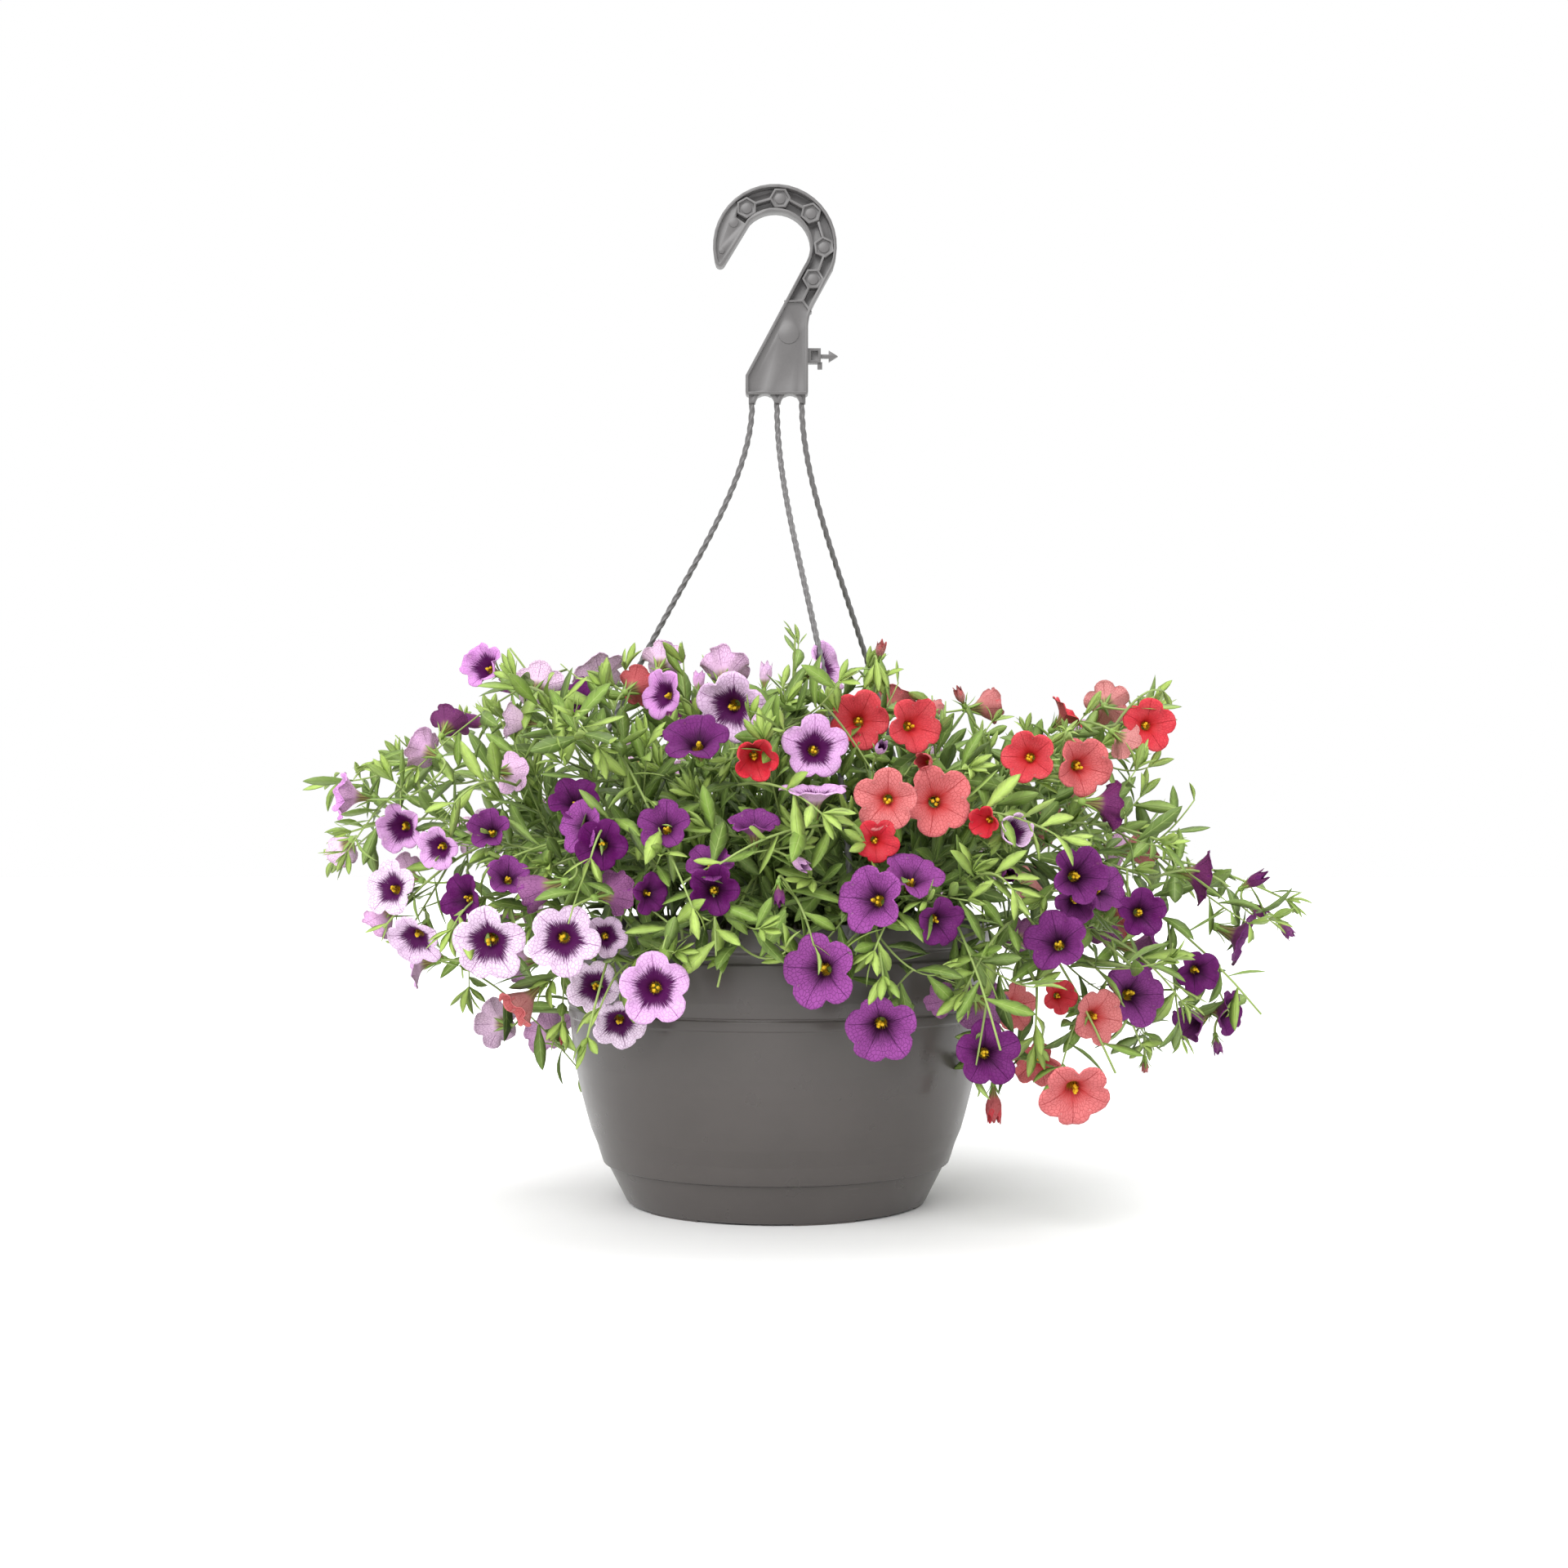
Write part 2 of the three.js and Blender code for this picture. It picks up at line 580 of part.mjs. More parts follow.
const FIXED_FINISH = { pot: COLOURS.pot, saucer: COLOURS.pot, potting_mix: COLOURS.mix };
for (const [name, solid] of Object.entries(fixed)) {
  addPiece(name, solid, plastic(FIXED_FINISH[name] ?? COLOURS.hanger));
}
const numbered = (word, list, item) => {
  const place = list.filter((other) => (other.plant ?? other.variety) === (item.plant ?? item.variety)).indexOf(item);
  return `${word}_${item.plant ?? item.variety}_${place + 1}`;
};
for (const shoot of shoots) {
  addPiece(numbered('shoot', shoots, shoot), shoot.solid, soft(COLOURS.leaf));
}
for (const flower of flowers) {
  addPiece(numbered('flower', flowers, flower), flower.solid, soft(COLOURS[flower.variety]));
}

export default group;
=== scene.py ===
"""Calibrachoa hanging basket: a grey plastic pot and saucer on a moulded hook with three twisted
strands, planted with trailing calibrachoa in pink, violet and coral. Metres, +Z up, front to -Y.
Heights in the lists below are in millimetres above the base, and at() puts them in the frame."""
import math
import random

import bmesh
import bpy
import numpy as np
from mathutils import Matrix, Vector, noise


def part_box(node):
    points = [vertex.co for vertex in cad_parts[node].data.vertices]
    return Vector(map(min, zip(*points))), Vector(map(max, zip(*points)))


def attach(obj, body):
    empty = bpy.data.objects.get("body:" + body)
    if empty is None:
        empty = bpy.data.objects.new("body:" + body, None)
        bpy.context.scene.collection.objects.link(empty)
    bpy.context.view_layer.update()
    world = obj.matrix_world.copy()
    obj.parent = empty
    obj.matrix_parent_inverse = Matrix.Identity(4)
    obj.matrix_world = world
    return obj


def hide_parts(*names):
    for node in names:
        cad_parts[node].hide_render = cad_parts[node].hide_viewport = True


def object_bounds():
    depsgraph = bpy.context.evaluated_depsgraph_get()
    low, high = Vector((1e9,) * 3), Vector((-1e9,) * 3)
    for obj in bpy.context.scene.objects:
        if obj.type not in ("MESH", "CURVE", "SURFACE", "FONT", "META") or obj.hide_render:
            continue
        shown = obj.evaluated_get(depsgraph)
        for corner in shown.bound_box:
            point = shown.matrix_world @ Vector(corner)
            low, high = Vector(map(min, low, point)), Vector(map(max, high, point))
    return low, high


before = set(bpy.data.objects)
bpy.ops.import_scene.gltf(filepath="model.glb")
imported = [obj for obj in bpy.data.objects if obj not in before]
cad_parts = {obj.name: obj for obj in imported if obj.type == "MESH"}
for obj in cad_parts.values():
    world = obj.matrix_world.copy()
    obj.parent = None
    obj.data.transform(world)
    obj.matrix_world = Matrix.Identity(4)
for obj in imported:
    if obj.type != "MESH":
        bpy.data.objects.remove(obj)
cad_low, cad_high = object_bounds()

MM = 0.001
BASE_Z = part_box("saucer")[0][2]
NODES = sorted(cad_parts)
ROOM = 0.016  # how far leaves and petals may stand outside the solid model's box
FULL_TURN = 6.28
dice = random.Random(27)


def at(x, y, z):
    """A place in the frame from millimetres: x and y from the pot's axis, z above the base."""
    return Vector((x * MM, y * MM, BASE_Z + z * MM))


# ---------- the plants' driving lists, in millimetres ----------

MIX_TOP = 168
CROWNS = {"pink": (-52, -12), "violet": (32, -48), "coral": (22, 46)}
CROWN_R = 18
STEM_R = 1.2

# The carrying shoots: plant, tip, and how far the middle of the shoot bows up.
SHOOTS = [
    ("pink", (-165, -30, 346), 14), ("pink", (-252, -22, 276), 30), ("pink", (-278, 26, 232), 34),
    ("pink", (-226, -116, 176), 58), ("pink", (-104, -176, 114), 72), ("pink", (-118, -128, 292), 20),
    ("pink", (-190, 140, 226), 40), ("pink", (-92, 206, 250), 34), ("pink", (6, -112, 306), 14),
    ("violet", (-32, -172, 146), 52), ("violet", (58, -186, 150), 52), ("violet", (122, -178, 112), 66),
    ("violet", (292, -64, 122), 66), ("violet", (322, -22, 188), 42), ("violet", (226, -96, 226), 34),
    ("violet", (0, -140, 226), 26), ("violet", (-156, -132, 214), 34), ("violet", (-100, -50, 322), 20),
    ("coral", (12, -14, 356), 6), ("coral", (64, -92, 324), 10), ("coral", (112, -122, 268), 24),
    ("coral", (204, -30, 286), 26), ("coral", (250, 34, 322), 20), ("coral", (268, 96, 226), 40),
    ("coral", (152, 206, 236), 38), ("coral", (24, 236, 214), 40), ("coral", (168, 176, 116), 70),
    ("coral", (196, -112, 92), 86),
]

# Blooms between the carried ones: variety, where it shows from the front [x, z], how far behind
# the plant's front surface, facing (turn towards +X, tilt up) in degrees, width, form and tone.
BLOOMS = [
    ("pink", -150, 325, 60, 170, 20, 36, "open", 0.7), ("violet", -207, 302, 30, 160, 40, 30, "open", 0.2),
    ("pink", -225, 285, 10, -120, 20, 32, "open", 0.2), ("pink", -165, 303, 20, -95, 10, 32, "half", 0.6),
    ("pink", -168, 270, 40, 150, 0, 30, "open", 0.4), ("pink", -274, 222, 10, -150, -20, 34, "half", 0.7),
    ("pink", -215, 222, 8, -20, -10, 33, "open", 0.25), ("violet", -182, 234, 20, -10, 20, 32, "open", 0.5),
    ("violet", -170, 205, 20, 10, 30, 32, "open", 0.7), ("pink", -246, 197, 5, -25, 10, 38, "open", 0.85),
    ("pink", -250, 176, 10, -110, -40, 32, "half", 0.2), ("pink", -230, 163, 5, -20, -35, 39, "open", 0.7),
    ("pink", -108, 166, 12, 10, 0, 31, "open", 0.75), ("pink", -116, 134, 18, -10, 0, 40, "open", 0.95),
    ("pink", -100, 110, 18, 0, -20, 38, "open", 0.95), ("coral", -162, 123, 10, -60, -40, 38, "half", 0.8),
    ("coral", -135, 104, 10, 10, -80, 13, "shut", 0.4), ("violet", -128, 254, 15, -5, 35, 36, "open", 0.1),
    ("violet", -125, 236, 5, -40, 10, 36, "open", 0.9), ("violet", -150, 196, 10, -115, -15, 40, "half", 0.7),
    ("violet", -103, 194, 12, 140, 10, 36, "open", 0.6), ("violet", -79, 193, 6, 40, -5, 28, "open", 0.1),
    ("violet", -71, 237, 8, -10, 25, 36, "open", 0.4), ("violet", -42, 214, 14, 0, 40, 32, "open", 0.6),
    ("violet", -14, 238, 20, 0, 65, 38, "open", 0.6), ("pink", 14, 213, 5, 40, -20, 20, "shut", 0.2),
    ("violet", 2, 193, 0, 10, -70, 17, "shut", 0.3), ("violet", 60, 190, 0, -30, 8, 48, "open", 0.9),
    ("violet", 87, 206, 12, 15, 45, 42, "open", 0.8), ("violet", 104, 175, 4, 30, -15, 36, "open", 0.2),
    ("pink", -32, 336, 40, 170, 50, 38, "open", 0.4), ("violet", -51, 293, 0, -8, 45, 45, "open", 0.2),
    ("pink", -73, 320, 25, -40, 5, 34, "open", 0.0), ("pink", -72, 341, 50, 170, 30, 32, "open", 0.6),
    ("coral", -88, 325, 45, 150, 20, 32, "open", 0.1), ("coral", -13, 279, 5, 8, -15, 38, "half", 0.0),
    ("pink", 24, 260, 10, 0, 80, 46, "open", 0.3), ("pink", 33, 338, 30, 60, 20, 38, "open", 0.3),
    ("coral", 88, 300, 12, 25, 0, 40, "open", 0.2), ("pink", 66, 285, -2, 10, 20, 18, "shut", 0.2),
    ("coral", 70, 252, 6, -8, -8, 42, "open", 0.9), ("coral", 95, 277, 5, -20, 0, 24, "shut", 0.4),
    ("coral", 64, 226, 14, 10, -10, 30, "open", 0.0), ("coral", 66, 347, 60, 20, 60, 15, "shut", 0.8),
    ("coral", 117, 318, 50, -40, 50, 15, "shut", 0.8), ("coral", 160, 280, 0, -15, 0, 39, "open", 0.2),
    ("coral", 195, 274, 10, 18, -5, 44, "open", 0.7), ("coral", 210, 314, 40, 165, 10, 34, "open", 0.8),
    ("coral", 222, 289, 20, 120, -30, 28, "open", 0.8), ("coral", 133, 239, 8, -30, -10, 28, "half", 0.0),
    ("pink", 150, 232, 8, 20, 10, 36, "half", 0.6), ("violet", 208, 198, 15, 30, 20, 36, "open", 0.5),
    ("violet", 190, 187, 15, 0, -20, 32, "open", 0.4), ("violet", 211, 250, 20, 105, -5, 38, "open", 0.1),
    ("violet", 147, 205, 4, 5, 0, 22, "shut", 0.2), ("violet", 178, 164, -4, -18, 25, 42, "open", 0.3),
    ("violet", 232, 181, 0, 6, 0, 36, "open", 0.1), ("violet", 271, 204, 10, 82, -12, 42, "open", 0.1),
    ("violet", 303, 201, 6, 60, 30, 20, "shut", 0.1), ("violet", 305, 183, 6, 100, -30, 18, "shut", 0.1),
    ("violet", 268, 143, 5, 10, -12, 32, "open", 0.1), ("violet", 228, 130, 15, 20, 10, 44, "open", 0.5),
    ("violet", 264, 112, 5, -60, -20, 34, "half", 0.6), ("violet", 287, 118, 5, 50, -5, 34, "open", 0.1),
    ("violet", 280, 97, 6, 20, -70, 14, "shut", 0.5), ("violet", 131, 122, 10, 160, -20, 38, "open", 0.9),
    ("violet", 106, 126, 14, -150, 0, 28, "open", 0.9), ("coral", 138, 60, 5, 0, -80, 25, "shut", 0.2),
    ("coral", 152, 121, 20, 30, 0, 34, "open", 0.9), ("coral", 205, 115, 5, 24, 0, 40, "open", 1.0),
    ("coral", 166, 86, 16, -20, -20, 36, "open", 0.8), ("coral", 180, 128, 24, 10, 0, 26, "open", 0.1),
    ("coral", 234, 84, 4, 0, -85, 10, "shut", 0.8), ("violet", 323, 171, 2, 70, -50, 16, "shut", 0.5),
]

# The plant's outline from the front: its top edge and its hem, [x, z].
CANOPY = [
    (-300, 258), (-262, 275), (-245, 290), (-200, 315), (-172, 345), (-125, 336), (-68, 356),
    (-40, 335), (-18, 330), (8, 366), (40, 335), (62, 352), (92, 318), (190, 300), (208, 325),
    (252, 326), (264, 268), (280, 215), (340, 214),
]
SKIRT = [
    (-300, 226), (-278, 205), (-262, 168), (-200, 140), (-160, 108), (-132, 68), (-112, 78),
    (-70, 138), (-20, 148), (30, 142), (52, 118), (70, 80), (112, 80), (132, 54), (200, 48),
    (216, 88), (290, 92), (310, 118), (340, 165),
]

# Fresh shoots in front of the rest: where each starts and where its tip shows, [x, z, x, z].
FRESH_SHOOTS = [
    (-112, 304, -52, 182), (-160, 325, -112, 285), (-165, 262, -205, 250), (-24, 262, 30, 243),
    (45, 236, -36, 212), (84, 190, 62, 156), (150, 176, 119, 130), (100, 244, 182, 228),
    (196, 152, 232, 96), (240, 203, 287, 198), (180, 270, 184, 296), (-88, 150, -112, 120),
    (-40, 200, -38, 152), (6, 196, 24, 160), (165, 140, 164, 96), (200, 170, 258, 124),
    (-178, 190, -206, 170), (60, 330, 64, 340), (-100, 240, -118, 215), (122, 200, 150, 196),
    (-60, 170, -72, 158), (215, 300, 246, 322),
]

# The tone of a carried flower, from 0, its variety's deepest colour, to 1, its palest.
TONES = {
    "flower_pink_1": 0.0, "flower_violet_1": 0.05, "flower_pink_2": 0.05, "flower_pink_3": 0.2,
    "flower_violet_2": 0.0, "flower_pink_4": 0.8, "flower_pink_5": 0.75, "flower_pink_6": 0.3,
    "flower_violet_3": 0.0, "flower_violet_4": 0.05, "flower_pink_7": 0.6, "flower_pink_8": 0.3,
    "flower_coral_1": 0.2, "flower_coral_2": 0.75, "flower_coral_3": 0.1, "flower_violet_5": 0.3,
    "flower_violet_6": 0.85, "flower_violet_7": 0.8, "flower_violet_8": 0.2, "flower_coral_4": 0.8,
}


# ---------- node trees ----------

class Wire:
    """A shader socket that adds Math nodes when used in an expression."""

    def __init__(self, tree, socket):
        self.tree = tree
        self.socket = socket

    def math(self, operation, *others):
        return self.tree.make("ShaderNodeMath", {"operation": operation}, dict(enumerate((self, *others))))

    def __add__(self, other):
        return self.math("ADD", other)

    def __sub__(self, other):
        return self.math("SUBTRACT", other)

    def __mul__(self, other):
        return self.math("MULTIPLY", other)

    def __truediv__(self, other):
        return self.math("DIVIDE", other)

    def __rsub__(self, other):
        return self.tree.make("ShaderNodeMath", {"operation": "SUBTRACT"}, {0: other, 1: self})

    __radd__ = __add__
    __rmul__ = __mul__

    def out(self, name):
        return Wire(self.tree, self.socket.node.outputs[name])


class Tree:
    """A node tree with one method that makes any node in it."""

    def __init__(self, nodes_and_links):
        self.tree = nodes_and_links

    def make(self, kind, settings=None, sockets=None):
        """Makes a node with its settings, plugs its sockets, and gives its first output."""
        node = self.tree.nodes.new(kind)
        for key, value in (settings or {}).items():
            setattr(node, key, value)
        for key, value in (sockets or {}).items():
            self.plug(node.inputs[key], value)
        live = [socket for socket in node.outputs if socket.enabled]
        return Wire(self, live[0]) if live else node

    def plug(self, socket, value):
        if isinstance(value, Wire):
            self.tree.links.new(value.socket, socket)
        else:
            socket.default_value = value


class Finish(Tree):
    """A material: a Principled shader, and the nodes that feed it."""

    def __init__(self, name, **constants):
        self.material = bpy.data.materials.new(name)
        self.material.use_nodes = True
        super().__init__(self.material.node_tree)
        self.shader = next(node for node in self.tree.nodes if node.type == "BSDF_PRINCIPLED")
        for key, value in constants.items():
            self.shader.inputs[key.replace("_", " ")].default_value = value

    def feed(self, name, value):
        self.plug(self.shader.inputs[name], value)

    def place(self):
        return self.make("ShaderNodeTexCoord").out("Object")

    def attribute(self, name, output="Fac"):
        return self.make("ShaderNodeAttribute", {"attribute_name": name}).out(output)

    def noise(self, vector, scale, detail=3.0, rough=0.5):
        return self.make("ShaderNodeTexNoise", None, {
            "Vector": vector, "Scale": scale, "Detail": detail, "Roughness": rough})

    def step(self, value, low, high):
        """A smooth step from 0 to 1 as value goes from low to high."""
        return self.make("ShaderNodeMapRange", {"interpolation_type": "SMOOTHSTEP"}, {
            "Value": value, "From Min": low, "From Max": high})

    def mix(self, factor, a, b):
        """Colour a where the factor is 0, b where it is 1."""
        a, b = (colour if isinstance(colour, Wire) else (*colour, 1.0) for colour in (a, b))
        return self.make("ShaderNodeMix", {"data_type": "RGBA"}, {0: factor, 6: a, 7: b})

    def bump(self, height, distance):
        self.feed("Normal", self.make("ShaderNodeBump", None, {
            "Height": height, "Distance": distance, "Strength": 1.0}))

    def combine(self, x, y):
        return self.make("ShaderNodeCombineXYZ", None, {"X": x, "Y": y})


def geometry_tree(name, sizes):
    """A Geometry Nodes tree with a named input for each size, and its Group Input."""
    group = bpy.data.node_groups.new(name, "GeometryNodeTree")
    group.interface.new_socket("Geometry", in_out="INPUT", socket_type="NodeSocketGeometry")
    group.interface.new_socket("Geometry", in_out="OUTPUT", socket_type="NodeSocketGeometry")
    for label in sizes:
        group.interface.new_socket(label, in_out="INPUT", socket_type="NodeSocketFloat")
    tree = Tree(group)
    start = tree.make("NodeGroupInput")
    return tree, start


def run_tree(carrier, tree, last, material, sizes, name):
    """Ends a tree in Realize Instances and Set Material, runs it on its carrier, and gives a plain mesh."""
    real = tree.make("GeometryNodeRealizeInstances", None, {"Geometry": last})
    painted = tree.make("GeometryNodeSetMaterial", None, {"Geometry": real, "Material": material})
    tree.make("NodeGroupOutput", None, {"Geometry": painted})
    modifier = carrier.modifiers.new(name, "NODES")
    modifier.node_group = tree.tree
    for item in tree.tree.interface.items_tree:
        if item.in_out == "INPUT" and item.name in sizes:
            modifier[item.identifier] = sizes[item.name]
    graph = bpy.context.evaluated_depsgraph_get()
    mesh = bpy.data.meshes.new_from_object(carrier.evaluated_get(graph))
    bpy.data.objects.remove(carrier)
    return new_object(name, mesh)


# ---------- mesh helpers ----------

def new_object(name, data):
    made = bpy.data.objects.new(name, data)
    bpy.context.scene.collection.objects.link(made)
    return made


def mesh_from(name, vertices, faces, material=None):
    mesh = bpy.data.meshes.new(name)
    mesh.from_pydata([tuple(v) for v in vertices], [], faces)
    mesh.polygons.foreach_set("use_smooth", [True] * len(mesh.polygons))
    if material:
        mesh.materials.append(material)
    return mesh


def add_attribute(mesh, name, values, kind="FLOAT"):
    field = "vector" if kind == "FLOAT_VECTOR" else "value"
    dtype = np.int32 if kind == "INT" else np.float32
    mesh.attributes.new(name, kind, "POINT").data.foreach_set(field, np.asarray(values, dtype).ravel())


def skin(rings, start, end):
    """Vertices and faces of one closed skin over rings of equal count, from a start point to an end point."""
    count = len(rings[0])
    vertices = [start, *(point for ring in rings for point in ring), end]
    faces = []
    last = len(vertices) - 1
    for i in range(count):
        j = (i + 1) % count
        faces.append((0, 1 + i, 1 + j))
        for r in range(len(rings) - 1):
            a = 1 + r * count
            b = a + count
            faces.append((a + i, b + i, b + j, a + j))
        top = 1 + (len(rings) - 1) * count
        faces.append((last, top + j, top + i))
    return vertices, faces


def turned(name, profile, segments, material):
    """Turns a profile of (radius, height) in millimetres, which starts and ends on the axis."""
    rings = []
    for radius, z in profile[1:-1]:
        rings.append([at(radius * math.cos(a), radius * math.sin(a), z)
                      for a in (2 * math.pi * i / segments for i in range(segments))])
    vertices, faces = skin(rings, at(0, 0, profile[0][1]), at(0, 0, profile[-1][1]))
    return mesh_from(name, vertices, [tuple(reversed(face)) for face in faces], material)


def softened(profile, radius, steps=3):
    """The profile with each inner corner rounded by a small curve of about that radius."""
    out = [profile[0]]
    for before, corner, after in zip(profile, profile[1:], profile[2:]):
        b, c, a = (Vector(p) for p in (before, corner, after))
        reach = min(radius, (b - c).length * 0.45, (a - c).length * 0.45)
        p0 = c + (b - c).normalized() * reach
        p2 = c + (a - c).normalized() * reach
        for i in range(steps + 1):
            t = i / steps
            out.append(tuple((1 - t) ** 2 * p0 + 2 * t * (1 - t) * c + t * t * p2))
    out.append(profile[-1])
    return out


def swept(points, radii, sides):
    """Vertices and faces of a closed round tube along points, with a radius at each."""
    points = [Vector(p) for p in points]
    rings = []
    side = None
    for i, p in enumerate(points):
        forward = (points[min(i + 1, len(points) - 1)] - points[max(i - 1, 0)]).normalized()
        if side is None:
            side = forward.orthogonal().normalized()
        side = (side - forward * side.dot(forward)).normalized()
        other = forward.cross(side)
        rings.append([p + (side * math.cos(a) + other * math.sin(a)) * radii[i]
                      for a in (2 * math.pi * k / sides for k in range(sides))])
    vertices, faces = skin(rings, points[0], points[-1])
    return vertices, [tuple(reversed(face)) for face in faces]


def curve_points(p0, p1, p2, count):
    """Points on the quadratic curve from p0 to p2 that p1 pulls."""
    shares = (i / count for i in range(count + 1))
    return [(1 - t) ** 2 * p0 + 2 * t * (1 - t) * p1 + t * t * p2 for t in shares]


def ease(value, low, high):
    t = min(1.0, max(0.0, (value - low) / (high - low)))
    return t * t * (3 - 2 * t)


def aim(turn, tilt):
    """The way that something faces: turn from the front towards +X, then tilt up, in degrees."""
    a, e = math.radians(turn), math.radians(tilt)
    return Vector((math.sin(a) * math.cos(e), -math.cos(a) * math.cos(e), math.sin(e)))


def inside_room(point):
    return all(cad_low[i] - ROOM < point[i] < cad_high[i] + ROOM for i in range(3))


def front_view(point):
    """Where a point shows from the front: millimetres across and up, on the pot's axis."""
    k = EYE_AWAY / (EYE_AWAY + point.y / MM)
    return point.x / MM * k, EYE_HEIGHT + ((point.z - BASE_Z) / MM - EYE_HEIGHT) * k


def inside_outline(point):
    """Whether the plant may grow there: below its top outline, and at the front above the bare pot."""
    x, z = front_view(point)
    low = float(np.interp(x, *zip(*SKIRT))) if point.y < 0.03 else 60
    return low < z < 5 + float(np.interp(x, *zip(*CANOPY))) and inside_room(point)


def settle(piece, nodes):
    """Hands a finished piece to the frame in place of its solid nodes."""
    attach(piece, "root")
    if nodes:
        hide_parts(*nodes)


# ---------- finishes ----------

def moulded_plastic(name, dark, pale, rough):
    """Satin moulded plastic: a faint mottle, a fine pebble and a few light scuffs."""
    f = Finish(name, Specular_IOR_Level=0.45)
    place = f.place()
    cloud = f.noise(place, 22.0, 4.0, 0.6)
    drawn_out = f.make("ShaderNodeMapping", None, {"Vector": place, "Scale": (60.0, 60.0, 900.0)})
    scuffs = f.step(f.noise(drawn_out, 1.0, 2.0), 0.69, 0.76) * f.step(f.noise(place, 14.0, 1.0), 0.56, 0.66)
    base = f.mix(cloud, dark, pale)
    worn = f.mix(scuffs * 0.2, base, tuple(min(1.0, 2.4 * c) for c in pale))
    f.feed("Base Color", worn)
    f.feed("Roughness", f.noise(place, 60.0, 3.0) * 0.16 + (rough - 0.08) + scuffs * 0.15)
    f.bump(f.noise(place, 1500.0, 2.0) * 0.3 + f.noise(place, 50.0, 1.0), 0.00004)
    return f.material


def damp_mix():
    f = Finish("damp_potting_mix", Roughness=0.9)
    place = f.place()
    crumb = f.noise(place, 260.0, 5.0, 0.7)
    colour = f.mix(f.step(crumb, 0.35, 0.7), (0.012, 0.007, 0.004), (0.075, 0.04, 0.02))
    f.feed("Base Color", f.mix(f.step(f.noise(place, 130.0, 2.0), 0.62, 0.7), colour, (0.12, 0.075, 0.04)))
    f.bump(crumb, 0.0012)
    return f.material


def leaf_finish():
    """Leaf green by age, with painted light in it (paler higher up and further out), a paler midrib, faint side
    veins and a dull, paler underside.
    """
    f = Finish("calibrachoa_leaf", Specular_IOR_Level=0.35)
    # The tint is the leaf's age with painted light mixed in: leaves higher up and further from the axis are painted
    # paler.
    age = f.attribute("tint")
    plan = f.make("ShaderNodeSeparateXYZ", None, {"Vector": f.attribute("plan", "Vector")})
    along, across, upper = plan, plan.out("Y"), plan.out("Z")
    width = across.math("ABSOLUTE")
    green = f.mix(f.step(age, 0.0, 0.62), (0.050, 0.095, 0.014), (0.200, 0.330, 0.048))
    green = f.mix(f.step(age, 0.55, 1.0), green, (0.41, 0.57, 0.115))
    mottle = f.noise(f.place(), 190.0, 3.0)
    green = f.mix(f.step(mottle, 0.3, 0.75) * 0.3, green, (0.12, 0.17, 0.035))
    rib = 1 - f.step(width, 0.03, 0.13)
    side_vein = f.step((along * 26.0 - width * 5.0).math("SINE"), 0.82, 1.0) * 0.22
    green = f.mix(rib * 0.45 + side_vein, green, (0.36, 0.46, 0.15))
    green = f.mix(f.step(width, 0.75, 1.0) * 0.25, green, (0.26, 0.34, 0.10))
    f.feed("Base Color", f.mix((1 - upper) * 0.45, green, (0.25, 0.33, 0.13)))
    f.feed("Roughness", f.noise(f.place(), 400.0, 2.0) * 0.2 + 0.42)
    f.bump(rib * -1.0 + side_vein * -1.2, 0.00018)
    return f.material


def stem_finish():
    f = Finish("calibrachoa_stem", Roughness=0.6)
    age = f.attribute("tint")
    streak = f.noise(f.place(), 300.0, 3.0)
    green = f.mix(age, (0.10, 0.13, 0.035), (0.30, 0.41, 0.11))
    f.feed("Base Color", f.mix(f.step(streak, 0.45, 0.8) * 0.5, green, (0.20, 0.24, 0.08)))
    f.bump(streak, 0.0001)
    return f.material


